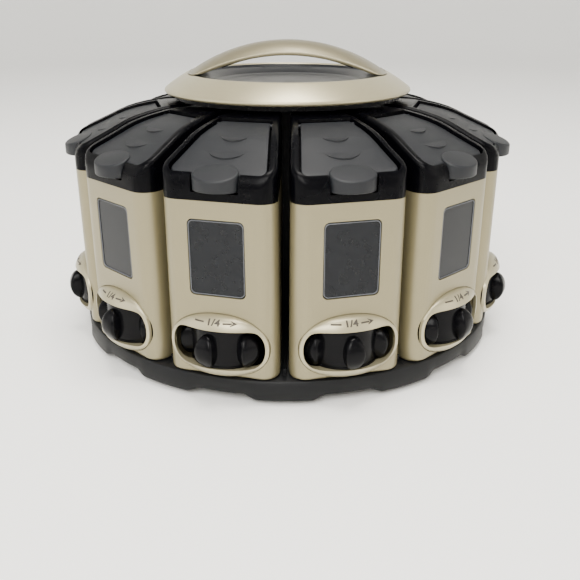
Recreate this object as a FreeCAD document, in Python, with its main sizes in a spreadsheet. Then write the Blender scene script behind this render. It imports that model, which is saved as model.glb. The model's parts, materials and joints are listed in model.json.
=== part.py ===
"""Countertop spice carousel: twelve wedge canisters on a turntable, with a carry handle.

The origin is on the table at the turning axis and +Z is up. A canister is built once along +X,
with its front face square to X, and then copied round the axis. All sizes are millimetres.
"""
import FreeCAD, Part
import math
import os
import Sketcher

V = FreeCAD.Vector

SIZES = (
    # the carousel
    ("canister_count", 12, "canisters round the axis"),
    ("first_azimuth", 15, "azimuth of canister 1, degrees from -Y towards +X"),
    ("side_gap", 1.4, "canister wall to the border of its sector"),
    ("face_apothem", 108, "axis to canister front face"),
    ("rear_apothem", 40, "axis to canister inner end"),
    ("corner_front", 5, "radius of the upright front corners"),
    ("corner_rear", 2, "radius of the upright inner corners"),
    # foot and bearing
    ("pad_radius", 70, "non-slip pad radius"),
    ("pad_height", 1.5, "non-slip pad thickness"),
    ("foot_radius", 84, "foot plate radius"),
    ("foot_top", 4, "top of the foot plate"),
    ("post_radius", 9, "pivot post radius"),
    ("post_top", 13.2, "top of the pivot post"),
    ("post_clearance", 0.06, "radial running clearance on the post"),
    ("pivot_shank_radius", 7.5, "neck of the pivot cap on the post"),
    ("pivot_cap_gap", 0.4, "pivot cap's head over the post"),
    ("pivot_cap_radius", 13.5, "pivot cap radius"),
    ("pivot_cap_height", 1.6, "pivot cap thickness"),
    ("race_radius", 60, "pitch radius of the ball race"),
    ("ball_radius", 2.4, "bearing ball radius"),
    ("ball_centre_z", 6.35, "height of the ball centres"),
    ("ball_count", 18, "bearing balls"),
    ("race_clearance", 0.12, "groove radius over ball radius"),
    # turntable
    ("skirt_radius", 110.2, "lower edge of the skirt"),
    ("rim_radius", 109.4, "upper edge of the skirt"),
    ("skirt_bottom", 2.4, "lower edge of the skirt above the table"),
    ("skirt_wall", 2.6, "skirt wall"),
    ("deck_bottom", 8.7, "underside of the deck"),
    ("deck_top", 11.7, "top of the deck"),
    ("scallop_width", 34, "width of each recess in the skirt's lower edge"),
    ("scallop_height", 2.2, "height of each recess in the skirt's lower edge"),
    ("rib_width", 1.5, "guide rib between canisters"),
    ("rib_height", 3, "guide rib height over the deck"),
    ("rib_inner", 44, "inner end of a guide rib"),
    ("rib_outer", 103, "outer end of a guide rib"),
    # column, crown, ring, dish
    ("column_radius", 36, "centre column radius"),
    ("column_wall", 2.4, "centre column wall"),
    ("column_top", 118.9, "top of the centre column"),
    ("screw_pitch_radius", 30.5, "pitch radius of the column screws"),
    ("screw_radius", 1.9, "column screw thread radius"),
    ("screw_head_radius", 3.6, "column screw head radius"),
    ("screw_head", 2.4, "column screw head height"),
    ("screw_reach", 12, "column screw length over the deck's underside"),
    ("screw_hole_gap", 0.3, "deck hole radius over the screw's"),
    ("boss_radius", 5, "screw boss radius in the column"),
    ("boss_top", 23.7, "top of the screw bosses"),
    ("crown_radius", 57.5, "crown plate radius"),
    ("crown_top", 121.3, "top of the crown plate"),
    ("ring_radius", 62.3, "lower rim of the top ring"),
    ("ring_bottom", 121.3, "underside of the top ring"),
    ("ring_rim_z", 122.8, "widest part of the top ring"),
    ("ring_top_radius", 50.9, "upper rim of the top ring"),
    ("ring_top", 130.5, "upper rim height of the top ring"),
    ("ring_foot_radius", 60.9, "outer edge of the top ring's underside"),
    ("ring_seat_radius", 53.5, "inner edge of the top ring's underside"),
    ("ring_mid_radius", 57.1, "outer radius half way up the ring's crowned cone"),
    ("ring_mid_z", 127.4, "height half way up the ring's crowned cone"),
    ("ring_inside_radius", 53.6, "inner radius half way up the ring"),
    ("ring_inside_z", 124.3, "height half way up the ring's inner side"),
    ("ring_wall", 2.2, "top ring wall at its upper rim"),
    ("dish_radius", 48.6, "dish lip radius"),
    ("dish_lip", 130, "dish lip height"),
    ("dish_floor_radius", 35, "dish floor radius"),
    ("dish_floor", 126, "dish floor height"),
    ("dish_wall", 2, "dish thickness"),
    ("dish_under_radius", 47.6, "outer edge of the dish's underside"),
    ("dish_under_z", 127.4, "height of the outer edge of the dish's underside"),
    ("stalk_radius", 11.7, "stalk that carries the dish on the crown"),
    # carry handle
    ("arch_radius", 87.6, "radius of the handle's ridge seen from the front"),
    ("arch_top", 146, "top of the handle"),
    ("arch_span", 49.2, "half span of the handle's arch"),
    ("grip_half", 13, "half width of the grip at mid span"),
    ("grip_crown", 5, "fall from the ridge to the grip's edge at mid span"),
    ("grip_edge", 1.9, "edge thickness of the grip at mid span"),
    ("heel_half", 29, "half width of the handle at its heels"),
    ("heel_setback", 0.15, "heel's corners inside the ring's upper rim"),
    ("heel_sink", 3, "how far the heels reach down inside the ring"),
    ("heel_flatness", 0.85, "share of the crown that is gone at the heels"),
    ("flare_power", 3, "how late the grip flares towards its heels"),
    ("liner_half", 10, "half width of the grip liner"),
    ("liner_depth", 1.6, "grip liner thickness"),
    ("liner_share", 0.66, "share of the arch that the grip liner covers"),
    ("liner_gap", 0.1, "gap round the grip liner"),
    # canister body
    ("body_bottom", 12, "underside of a canister"),
    ("body_top", 90.4, "joint between canister and cap"),
    ("body_wall", 1.4, "canister wall"),
    ("plate_bottom", 36.4, "underside of the metering plate"),
    ("plate_top", 38.4, "top of the metering plate"),
    ("plate_gap", 0.1, "gap round the metering plate"),
    ("slot_length", 12, "feed and discharge slot along the canister"),
    ("slot_width", 9, "feed and discharge slot across the canister"),
    ("slot_offset", 11.5, "slot centre behind the dial axis"),
    ("window_width", 24, "window width"),
    ("window_bottom", 50.3, "window lower edge"),
    ("window_top", 81.6, "window upper edge"),
    ("window_corner", 2, "window corner radius"),
    ("pane_gap", 0.12, "gap round the window pane"),
    ("pane_setback", 0.6, "pane face behind the canister face"),
    ("pane_thickness", 1.2, "pane thickness"),
    # measuring dial and its bezel
    ("dial_axis", 96.5, "axis to dial axis"),
    ("dial_lobe_radius", 21.5, "outer radius of the dial's lobes"),
    ("dial_drum_radius", 16.6, "dial drum radius"),
    ("dial_flange_radius", 17.2, "dial flange radius"),
    ("dial_bottom", 16.3, "underside of the dial"),
    ("dial_flange_top", 19, "top of the dial flange"),
    ("dial_top", 35.7, "top of the dial"),
    ("lobe_count", 6, "lobes round the dial"),
    ("lobe_half_width", 4.3, "half width of a lobe"),
    ("lobe_half_height", 7.7, "half height of a lobe"),
    ("lobe_centre_z", 27.9, "height of the lobes' middle"),
    ("lobe_root", 12, "radius where a lobe starts, inside the drum"),
    ("lobe_crown", 14.5, "half height of the ellipsoid that the lobes' faces follow"),
    ("pocket_radius", 4.4, "measuring pocket radius"),
    ("pocket_pitch", 10.6, "measuring pocket pitch radius"),
    ("pocket_depth", 16.5, "measuring pocket depth"),
    ("pin_radius", 2.5, "dial pin radius"),
    ("pin_clearance", 0.06, "radial running clearance on a pin"),
    ("pin_shoulder", 5, "radius of the shoulder under the dial"),
    ("shoulder_gap", 0.3, "gap between the shoulder and the dial"),
    ("pin_head_gap", 0.4, "end of the pin under the dial's top"),
    ("bezel_half_width", 22.4, "half width of the oval bezel"),
    ("bezel_half_height", 14.5, "half height of the oval bezel"),
    ("bezel_centre_z", 27, "height of the oval bezel's centre"),
    ("bezel_depth", 8.7, "how far the bezel's dome stands out"),
    ("mouth_half_width", 20.3, "half width of the oval that bounds the dial opening"),
    ("mouth_half_height", 13.2, "half height of the oval that bounds the dial opening"),
    ("mouth_low", 16, "lower edge of the dial opening"),
    ("mouth_high", 36.2, "upper edge of the dial opening"),
    ("flange_gap", 0.4, "gap round the dial flange in the opening"),
    # cap and flap
    ("roof_inner_z", 117.6, "cap height at its inner end"),
    ("roof_back", 58, "where the cap's roof starts to fall"),
    ("hinge_distance", 68, "axis to flap hinge"),
    ("roof_hinge_z", 116.4, "cap rim height at the hinge"),
    ("roof_knee", 82, "where the straight slope starts"),
    ("roof_knee_z", 112.9, "cap rim height at the knee"),
    ("roof_lip", 103.5, "where the cap's nose starts"),
    ("roof_lip_z", 102.9, "cap rim height at the nose"),
    ("nose_mid", 106.4, "middle of the rounded nose"),
    ("nose_mid_z", 100.3, "height at the middle of the nose"),
    ("nose_end_z", 97, "top of the cap's upright front wall"),
    ("flap_drop", 1.2, "flap surface under the cap rim"),
    ("flap_thickness", 2, "flap thickness"),
    ("flap_front", 104.5, "front edge of the flap"),
    ("flap_rear", 66.6, "rear edge of the flap"),
    ("flap_inset", 4.4, "flap edge inside the cap wall"),
    ("flap_gap", 1, "gap round the flap"),
    ("recess_depth", 4.6, "recess floor under the cap rim"),
    ("ceiling_depth", 6.3, "underside of the cap's roof under its rim"),
    ("cap_wall", 2, "cap wall"),
    ("mouth_front", 96, "front edge of the cap's mouth"),
    ("mouth_rear", 73, "rear edge of the cap's mouth"),
    ("mouth_inset", 5.4, "mouth edge inside the cap wall"),
    ("mouth_corner_rear", 2, "radius of the mouth's inner corners"),
    ("mouth_corner_front", 3, "radius of the mouth's outer corners"),
    ("recess_corner_rear", 1, "radius of the flap recess's inner corners"),
    ("recess_corner_front", 3.5, "radius of the flap recess's outer corners"),
    ("flap_corner_rear", 0.6, "radius of the flap's inner corners"),
    ("flap_corner_front", 3, "radius of the flap's outer corners"),
    ("tab_centre", 105.7, "centre of the oval thumb tab"),
    ("tab_half_width", 10, "half width of the thumb tab"),
    ("tab_half_length", 6.8, "half length of the thumb tab, away from the axis"),
    ("tab_bottom", 94.6, "underside of the thumb tab"),
    ("tab_raise", 0.4, "thumb tab over the flap surface"),
    ("notch_gap", 0.8, "gap round the thumb tab"),
    ("notch_wall", 1.4, "wall between the notch and the inside of the cap"),
    ("hinge_z", 114.2, "height of the flap's hinge axis"),
    ("trunnion_radius", 0.9, "flap trunnion radius"),
    ("trunnion_reach", 14.9, "half length over the flap's trunnions"),
    ("trunnion_root", 9, "where a trunnion leaves the flap"),
    ("socket_gap", 0.2, "gap at the end of a trunnion"),
)

# how far each canister's dial has been clicked round, in degrees
DIAL_PHASES = (0, 5, -8, 14, -20, 6, 22, -11, 9, 3, 5, -13)

ROOF_TALL = 60      # taller than any cap, for tools that cut right through one
BEYOND = 20         # how far a cutting tool runs past what it cuts
OVERLAP = 1         # how far a piece of a solid starts inside its neighbour

# places along half of the arch, as shares of its span, where the handle's section is drawn
STATION_SHARES = (-1, -0.86, -0.68, -0.4, 0, 0.4, 0.68, 0.86, 1)

doc = FreeCAD.newDocument("SpiceCarousel")
sheet = doc.addObject("Spreadsheet::Sheet", "Sizes")
nodes = []


def fill_sheet():
    """Write every driving size into the sheet, with its name and what it is."""
    for row, (alias, size, meaning) in enumerate(SIZES, start=1):
        sheet.set(f"A{row}", meaning)
        sheet.set(f"B{row}", str(size))
        sheet.setAlias(f"B{row}", alias)
    doc.recompute()


def ref(expression):
    """Turn the sizes' plain names into references to the sheet."""
    words = sorted((alias for alias, _, _ in SIZES), key=len, reverse=True)
    for number, word in enumerate(words):
        expression = expression.replace(word, f"<{number}>")
    for number, word in enumerate(words):
        expression = expression.replace(f"<{number}>", f"Sizes.{word}")
    return expression


def value(expression):
    """The number that an expression has now."""
    result = sheet.evalExpression(ref(str(expression)))
    return float(getattr(result, "Value", result))


def bind(feature, **properties):
    """Tie a feature's properties to expressions of the sheet's sizes."""
    for name, expression in properties.items():
        feature.setExpression(name.replace("__", "."), ref(str(expression)))
    return feature


def solid(kind, name, position=("0", "0", "0"), **properties):
    """A Part primitive with its sizes and its place bound to the sheet."""
    feature = doc.addObject(f"Part::{kind}", name)
    x, y, z = position
    bind(feature, Placement__Base__x=x, Placement__Base__y=y, Placement__Base__z=z, **properties)
    return feature


def cut(name, base, tool):
    feature = doc.addObject("Part::Cut", name)
    feature.Base = base
    feature.Tool = tool
    return feature


def common(name, base, tool):
    feature = doc.addObject("Part::Common", name)
    feature.Base = base
    feature.Tool = tool
    return feature


def fuse(name, *shapes):
    feature = doc.addObject("Part::MultiFuse", name)
    feature.Shapes = list(shapes)
    return feature


def group(name, *shapes):
    """Separate solids that share one node."""
    feature = doc.addObject("Part::Compound", name)
    feature.Links = list(shapes)
    return feature


def polygon(sketch, corners):
    """Close straight lines round the corners, each corner bound to the sheet."""
    places = [V(value(across), value(up), 0) for across, up in corners]
    last = len(places) - 1
    for index, place in enumerate(places):
        following = places[0] if index == last else places[index + 1]
        sketch.addGeometry(Part.LineSegment(place, following), False)
    for index in range(len(places)):
        following = 0 if index == last else index + 1
        sketch.addConstraint(Sketcher.Constraint("Coincident", index, 2, following, 1))
    for index, (place, corner) in enumerate(zip(places, corners)):
        for kind, size, expression, axis in (("DistanceX", place.x, corner[0], -2),
                                             ("DistanceY", place.y, corner[1], -1)):
            if abs(size) < 1e-9:
                sketch.addConstraint(Sketcher.Constraint("PointOnObject", index, 1, axis))
            else:
                held = sketch.addConstraint(Sketcher.Constraint(kind, -1, 1, index, 1, size))
                sketch.setExpression(f"Constraints[{held}]", ref(expression))


def body_sketch(body, name, plane, corners, offset="0"):
    """A polygon on one of the body's own origin planes."""
    sketch = body.newObject("Sketcher::SketchObject", name)
    support = next(item for item in body.Origin.OriginFeatures if item.Role == plane)
    sketch.AttachmentSupport = [(support, "")]
    sketch.MapMode = "FlatFace"
    bind(sketch, AttachmentOffset__Base__z=offset)
    polygon(sketch, corners)
    return sketch


def upright_edges(shape, forward):
    """Names of the upright edges at the front or at the rear of a wedge."""
    middle = shape.BoundBox.Center.x
    names = []
    for number, edge in enumerate(shape.Edges, start=1):
        first, final = edge.Vertexes[0].Point, edge.Vertexes[-1].Point
        upright = abs(first.x - final.x) < 1e-6 and abs(first.y - final.y) < 1e-6
        if upright and len(edge.Vertexes) == 2 and (first.x > middle) == forward:
            names.append(f"Edge{number}")
    return names


def round_uprights(body, base, name, forward, radius):
    doc.recompute()
    fillet = body.newObject("PartDesign::Fillet", name)
    fillet.Base = (base, upright_edges(base.Shape, forward))
    return bind(fillet, Radius=radius)


def half_width(distance, inset):
    """Half of a canister's width at a distance from the axis, less an inset from its wall."""
    sector = "(180 deg / canister_count)"
    return f"({distance}) * tan{sector} - (side_gap + {inset}) / cos{sector}"


def wedge(name, rear, front, inset, low, high, rear_radius, front_radius):
    """An upright wedge whose sides run parallel to its canister's sector."""
    body = doc.addObject("PartDesign::Body", name)
    corners = ((rear, f"-({half_width(rear, inset)})"), (front, f"-({half_width(front, inset)})"),
               (front, half_width(front, inset)), (rear, half_width(rear, inset)))
    plan = body_sketch(body, f"{name}Plan", "XY_Plane", corners, low)
    pad = body.newObject("PartDesign::Pad", f"{name}Pad")
    pad.Profile = plan
    bind(pad, Length=f"({high}) - ({low})")
    front_round = round_uprights(body, pad, f"{name}FrontCorners", True, front_radius)
    round_uprights(body, front_round, f"{name}RearCorners", False, rear_radius)
    return body


def turned(name, profile):
    """A body of revolution about Z from a closed profile of (radius, height) corners."""
    body = doc.addObject("PartDesign::Body", name)
    sketch = body_sketch(body, f"{name}Profile", "XZ_Plane", profile)
    feature = body.newObject("PartDesign::Revolution", f"{name}Turned")
    feature.Profile = sketch
    feature.ReferenceAxis = (sketch, ["V_Axis"])
    feature.Angle = 360
    return body


def side_slab(name, corners, half_span="face_apothem / 2"):
    """A side view, drawn in X and Z, extruded both ways across the canister."""
    sketch = doc.addObject("Sketcher::SketchObject", f"{name}Side")
    sketch.Placement = FreeCAD.Placement(V(), FreeCAD.Rotation(V(1, 0, 0), 90))
    polygon(sketch, corners)
    feature = doc.addObject("Part::Extrusion", name)
    feature.Base = sketch
    feature.DirMode = "Normal"
    feature.Solid = True
    return bind(feature, LengthFwd=half_span, LengthRev=half_span)


def extruded(name, outline, direction, length):
    """A closed outline pushed out along a direction."""
    feature = doc.addObject("Part::Extrusion", name)
    feature.Base = outline
    feature.DirMode = "Custom"
    feature.Dir = direction
    feature.Solid = True
    return bind(feature, LengthFwd=length)


def name_node(feature, label):
    """Give a finished sub-part its own label and list it for export."""
    feature.Label = label
    nodes.append(feature)
    return feature


# ---------------------------------------------------------------- foot and bearing

def build_foot():
    pad = solid("Cylinder", "FootPad", Radius="pad_radius", Height="pad_height")
    name_node(pad, "foot_pad")
    blank = turned("FootBlank", (
        ("0", "pad_height"), ("foot_radius", "pad_height"), ("foot_radius", "foot_top"),
        ("post_radius", "foot_top"), ("post_radius", "post_top"), ("0", "post_top")))
    name_node(cut("FootBase", blank, ball_groove("FootGroove")), "foot_base")
    balls = []
    for number in range(int(value("ball_count"))):
        turn = f"(360 deg * {number} / ball_count)"
        place = (f"race_radius * cos{turn}", f"race_radius * sin{turn}", "ball_centre_z")
        balls.append(solid("Sphere", f"Ball{number + 1:02d}", place, Radius="ball_radius"))
    name_node(group("BearingBalls", *balls), "bearing_balls")
    shank = solid("Cylinder", "PivotShank", ("0", "0", "post_top"),
                  Radius="pivot_shank_radius", Height="pivot_cap_gap")
    head = solid("Cylinder", "PivotHead", ("0", "0", "post_top + pivot_cap_gap"),
                 Radius="pivot_cap_radius", Height="pivot_cap_height")
    name_node(fuse("PivotCap", shank, head), "pivot_cap")


def ball_groove(name):
    return solid("Torus", name, ("0", "0", "ball_centre_z"),
                 Radius1="race_radius", Radius2="ball_radius + race_clearance")


# ---------------------------------------------------------------- turntable

def round_axis(name, tool, count, azimuth):
    """Copies of a tool at even steps about the axis, as one compound."""
    copies = []
    for number in range(count):
        copy = doc.addObject("Part::Compound", f"{name}{number + 1:02d}")
        copy.Links = [tool]
        turn = azimuth + 360 / count * number
        copy.Placement = FreeCAD.Placement(V(), FreeCAD.Rotation(V(0, 0, 1), turn))
        copies.append(copy)
    return copies


def build_turntable():
    bore = "post_radius + post_clearance"
    blank = turned("TrayBlank", (
        (bore, "deck_bottom"), ("rim_radius - skirt_wall", "deck_bottom"),
        ("skirt_radius - skirt_wall", "skirt_bottom"), ("skirt_radius", "skirt_bottom"),
        ("rim_radius", "deck_top"), (bore, "deck_top")))
    grooved = cut("TrayGrooved", blank, ball_groove("TrayGroove"))
    count = int(value("canister_count"))
    scallop = solid("Box", "Scallop", ("skirt_radius - 2 * skirt_wall", "-scallop_width / 2", "0"),
                    Length="4 * skirt_wall", Width="scallop_width",
                    Height="skirt_bottom + scallop_height")
    step = 360 / count
    scallops = group("Scallops", *round_axis("Scallop", scallop, count, step / 2))
    scalloped = cut("TrayScalloped", grooved, scallops)
    rib = solid("Box", "Rib", ("rib_inner", "-rib_width / 2", f"deck_top - {OVERLAP}"),
                Length="rib_outer - rib_inner", Width="rib_width",
                Height=f"rib_height + {OVERLAP}")
    ribbed = fuse("TrayRibbed", scalloped, *round_axis("Rib", rib, count, 0))
    holes = group("TrayScrewHoles", *screw_places("TrayHole", "screw_radius + screw_hole_gap",
                                                  "0", "boss_top"))
    name_node(cut("TurntableTray", ribbed, holes), "turntable_tray")


def screw_places(name, radius, low, high):
    """Four upright cylinders on the column's screw circle."""
    places = []
    for number in range(4):
        turn = f"(45 deg + 90 deg * {number})"
        place = (f"screw_pitch_radius * cos{turn}", f"screw_pitch_radius * sin{turn}", low)
        places.append(solid("Cylinder", f"{name}{number + 1}", place, Radius=radius,
                            Height=f"({high}) - ({low})"))
    return places


def build_column():
    head_low = "deck_bottom - screw_head"
    shanks = screw_places("ScrewShank", "screw_radius", "deck_bottom", "deck_bottom + screw_reach")
    heads = screw_places("ScrewHead", "screw_head_radius", head_low, "deck_bottom")
    screws = [fuse(f"ColumnScrew{index + 1}", shank, head)
              for index, (shank, head) in enumerate(zip(shanks, heads))]
    name_node(group("ColumnScrews", *screws), "column_screws")
    inner = "column_radius - column_wall"
    tube = turned("ColumnTube", (
        (inner, "deck_top"), ("column_radius", "deck_top"), ("column_radius", "column_top"),
        ("0", "column_top"), ("0", "column_top - column_wall"), (inner, "column_top - column_wall")))
    bosses = screw_places("ScrewBoss", "boss_radius", "deck_top", "boss_top")
    full = fuse("ColumnFull", tube, *bosses)
    bores = group("ScrewBores", *screw_places("ScrewBore", "screw_radius", "deck_top",
                                              "deck_bottom + screw_reach"))
    name_node(cut("CentreColumn", full, bores), "centre_column")
    crown = turned("ColumnCrown", (
        ("0", "column_top"), ("crown_radius", "column_top"), ("crown_radius", "crown_top"),
        ("0", "crown_top")))
    name_node(crown, "column_crown")


# ---------------------------------------------------------------- top ring and dish

def build_top():
    ring = turned("TopRing", (
        ("ring_seat_radius", "ring_bottom"), ("ring_foot_radius", "ring_bottom"),
        ("ring_radius", "ring_rim_z"), ("ring_mid_radius", "ring_mid_z"),
        ("ring_top_radius", "ring_top"), ("ring_top_radius - ring_wall", "ring_top"),
        ("ring_inside_radius", "ring_inside_z"), ("ring_seat_radius", "ring_rim_z")))
    name_node(ring, "top_ring")
    dish = turned("DishInsert", (
        ("0", "dish_floor - dish_wall"), ("dish_floor_radius", "dish_floor - dish_wall"),
        ("dish_under_radius", "dish_under_z"), ("dish_radius", "dish_lip"),
        ("dish_radius - dish_wall", "dish_lip"), ("dish_floor_radius", "dish_floor"),
        ("0", "dish_floor")))
    stalk = solid("Cylinder", "DishStalk", ("0", "0", "crown_top"), Radius="stalk_radius",
                  Height="dish_floor - dish_wall / 2 - crown_top")
    name_node(fuse("DishWithStalk", dish, stalk), "dish_insert")


# ---------------------------------------------------------------- carry handle

def arch_z(distance, drop):
    """Height of the handle's ridge at a distance from mid span, less a drop."""
    centre = value("arch_top") - value("arch_radius")
    return centre + math.sqrt(value("arch_radius") ** 2 - distance ** 2) - drop


def handle_section(station):
    """Crowned section of the handle across Y: an arc over a flat underside."""
    span = value("arch_span")
    share = abs(station) / span
    flare = share ** value("flare_power")
    half = value("grip_half") + (value("heel_half") - value("grip_half")) * flare
    chord = math.sqrt(value("ring_top_radius") ** 2 - station ** 2)
    half = min(half, chord - value("heel_setback"))
    crown = value("grip_crown") * (1 - value("heel_flatness") * flare)
    ridge = arch_z(abs(station), 0)
    edge = ridge - crown
    low = max(edge - value("grip_edge"), value("ring_top") - value("heel_sink") * flare)
    arc = Part.Arc(V(station, -half, edge), V(station, 0, ridge), V(station, half, edge)).toShape()
    corners = [V(station, half, edge), V(station, half, low), V(station, -half, low),
               V(station, -half, edge)]
    sides = [Part.LineSegment(first, final).toShape()
             for first, final in zip(corners[:-1], corners[1:])]
    return Part.Wire([arc] + sides)


def build_handle():
    span = value("arch_span")
    stations = [span * share for share in STATION_SHARES]
    handle = doc.addObject("Part::Feature", "CarryHandle")
    lofted = Part.makeLoft([handle_section(station) for station in stations], True, False)
    slot = liner_shape(value("liner_half"), 0)
    # the heels stand on the flat rim of the ring, so nothing of them reaches below it
    reach = span + OVERLAP
    below = Part.makeBox(2 * reach, 2 * reach, value("ring_top"), V(-reach, -reach, 0))
    handle.Shape = lofted.cut([slot, below])
    name_node(handle, "carry_handle")
    liner = doc.addObject("Part::Feature", "HandleLiner")
    gap = value("liner_gap")
    liner.Shape = liner_shape(value("liner_half") - gap, gap)
    name_node(liner, "handle_liner")


def liner_shape(half, gap):
    """The curved strip that lies in the grip's underside."""
    drop = value("grip_crown") + value("grip_edge")
    reach = value("arch_span") * value("liner_share") - gap
    top = drop - value("liner_depth") + gap
    ends = []
    for sag in (top, drop):
        ends.append([V(x, -half, arch_z(abs(x), sag)) for x in (-reach, 0, reach)])
    upper = Part.Arc(*ends[0]).toShape()
    lower = Part.Arc(*ends[1]).toShape()
    sides = [Part.LineSegment(ends[0][side], ends[1][side]).toShape() for side in (0, 2)]
    face = Part.Face(Part.Wire(Part.__sortEdges__([upper, lower] + sides)))
    return face.extrude(V(0, 2 * half, 0))


# ---------------------------------------------------------------- canister body

def dial_opening():
    """Cutter for the dial opening: an oval, flat at top and bottom, with room for the flange."""
    oval = doc.addObject("Part::Ellipse", "OpeningOval")
    oval.Placement = FreeCAD.Placement(V(), FreeCAD.Rotation(V(1, 1, 1), 120))
    bind(oval, Placement__Base__x="face_apothem - 3 * body_wall", Placement__Base__z="bezel_centre_z",
         MajorRadius="mouth_half_width", MinorRadius="mouth_half_height")
    tube = extruded("OpeningTube", oval, V(1, 0, 0), "3 * body_wall + 2 * bezel_depth")
    level = solid("Box", "OpeningLevel", ("face_apothem - 4 * body_wall", "-bezel_half_width", "mouth_low"),
                  Length="8 * body_wall + 2 * bezel_depth", Width="2 * bezel_half_width",
                  Height="mouth_high - mouth_low")
    sweep = solid("Cylinder", "FlangeSweep", ("dial_axis", "0", "mouth_low"),
                  Radius="dial_flange_radius + flange_gap",
                  Height="dial_flange_top - mouth_low + flange_gap")
    return fuse("DialOpening", common("OpeningFlattened", tube, level), sweep)


def rounded_panel(name, half, low, high, back, front, radius):
    """An upright panel square to X with rounded corners."""
    body = doc.addObject("PartDesign::Body", name)
    corners = ((f"-({half})", low), (half, low), (half, high), (f"-({half})", high))
    sketch = body_sketch(body, f"{name}Face", "YZ_Plane", corners, back)
    pad = body.newObject("PartDesign::Pad", f"{name}Pad")
    pad.Profile = sketch
    bind(pad, Length=f"({front}) - ({back})")
    doc.recompute()
    level = [f"Edge{number}" for number, edge in enumerate(pad.Shape.Edges, start=1)
             if edge.BoundBox.XLength > 1e-6]
    fillet = body.newObject("PartDesign::Fillet", f"{name}Corners")
    fillet.Base = (pad, level)
    bind(fillet, Radius=radius)
    return body


def build_bezel(opening):
    """Oval dome round the dial opening: an eyelid above the dial and a lip below it."""
    dome = solid("Ellipsoid", "BezelDome", (f"face_apothem - {OVERLAP}", "0", "bezel_centre_z"),
                 Radius1="bezel_half_height", Radius2="bezel_depth", Radius3="bezel_half_width")
    front = solid("Box", "BezelFront", ("face_apothem", "-2 * bezel_half_width", "0"),
                  Length="3 * bezel_depth", Width="4 * bezel_half_width", Height="body_top")
    raised = common("BezelRaised", dome, front)
    return cut("Bezel", raised, opening)


def build_body():
    """Shell, bezel, window pane and metering plate: four solids that never part."""
    outer = wedge("BodyOuter", "rear_apothem", "face_apothem", "0", "body_bottom", "body_top",
                  "corner_rear", "corner_front")
    hollow = wedge("BodyHollow", "rear_apothem + body_wall", "face_apothem - body_wall", "body_wall",
                   "body_bottom + body_wall", f"body_top + {BEYOND}",
                   "corner_rear - body_wall", "corner_front - body_wall")
    shell = cut("BodyShell", outer, hollow)
    window = rounded_panel("WindowOpening", "window_width / 2", "window_bottom", "window_top",
                           "face_apothem - 3 * body_wall", "face_apothem + body_wall",
                           "window_corner")
    mouth = dial_opening()
    chute = solid("Box", "DischargeSlot",
                  ("dial_axis - slot_offset - slot_length / 2", "-slot_width / 2", "0"),
                  Length="slot_length", Width="slot_width", Height="plate_bottom / 2")
    open_shell = cut("ShellOpened", shell, group("ShellOpenings", window, mouth, chute))
    floor_in = "body_bottom + body_wall"
    shoulder = solid("Cylinder", "DialShoulder", ("dial_axis", "0", "body_bottom"),
                     Radius="pin_shoulder", Height="dial_bottom - shoulder_gap - body_bottom")
    pin = solid("Cylinder", "DialPin", ("dial_axis", "0", floor_in),
                Radius="pin_radius", Height=f"dial_top - pin_head_gap - ({floor_in})")
    shell_done = fuse("CanisterShell", open_shell, shoulder, pin)
    pane = rounded_panel("WindowPane", "window_width / 2 - pane_gap", "window_bottom + pane_gap",
                         "window_top - pane_gap", "face_apothem - pane_setback - pane_thickness",
                         "face_apothem - pane_setback", "window_corner - pane_gap")
    plate = wedge("PlateBlank", "rear_apothem + body_wall + plate_gap",
                  "face_apothem - body_wall - plate_gap", "body_wall + plate_gap",
                  "plate_bottom", "plate_top",
                  "corner_rear - body_wall", "corner_front - body_wall")
    feed = solid("Box", "FeedSlot",
                 ("dial_axis - slot_offset - slot_length / 2", "-slot_width / 2",
                  f"plate_bottom - {OVERLAP}"),
                 Length="slot_length", Width="slot_width",
                 Height=f"plate_top - plate_bottom + 2 * {OVERLAP}")
    metering = cut("MeteringPlate", plate, feed)
    return group("CanisterBody", shell_done, build_bezel(mouth), pane, metering)


# ---------------------------------------------------------------- cap, flap and dial

def slope_z(distance):
    """Height of the cap rim's straight slope at a distance from the axis."""
    fall = "(roof_knee_z - roof_lip_z) / (roof_lip - roof_knee)"
    return f"roof_knee_z - ({distance} - roof_knee) * {fall}"


def roof_line(drop):
    """Side view of the cap's rim from its inner end to beyond its nose, lowered by a drop."""
    start = "rear_apothem - 5"
    finish = "face_apothem + 12"
    return ((start, f"roof_inner_z - ({drop})"), ("roof_back", f"roof_inner_z - ({drop})"),
            ("hinge_distance", f"roof_hinge_z - ({drop})"), ("roof_knee", f"roof_knee_z - ({drop})"),
            (finish, f"{slope_z(finish)} - ({drop})"))


def roof_slab(name, upper_drop, lower_drop):
    """Everything between the cap's rim lowered by two drops."""
    return side_slab(name, roof_line(upper_drop) + tuple(reversed(roof_line(lower_drop))))


def hinge_rod(name, radius, reach, root=None):
    """Cylinders along the hinge axis on both sides, from root to reach."""
    rods = []
    for side in (-1, 1):
        rod = doc.addObject("Part::Cylinder", f"{name}{'Left' if side < 0 else 'Right'}")
        rod.Placement = FreeCAD.Placement(V(), FreeCAD.Rotation(V(1, 0, 0), 90 * side))
        bind(rod, Placement__Base__x="hinge_distance", Placement__Base__z="hinge_z",
             Placement__Base__y=f"{-side} * ({root})", Radius=radius, Height=f"({reach}) - ({root})")
        rods.append(rod)
    return rods


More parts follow.
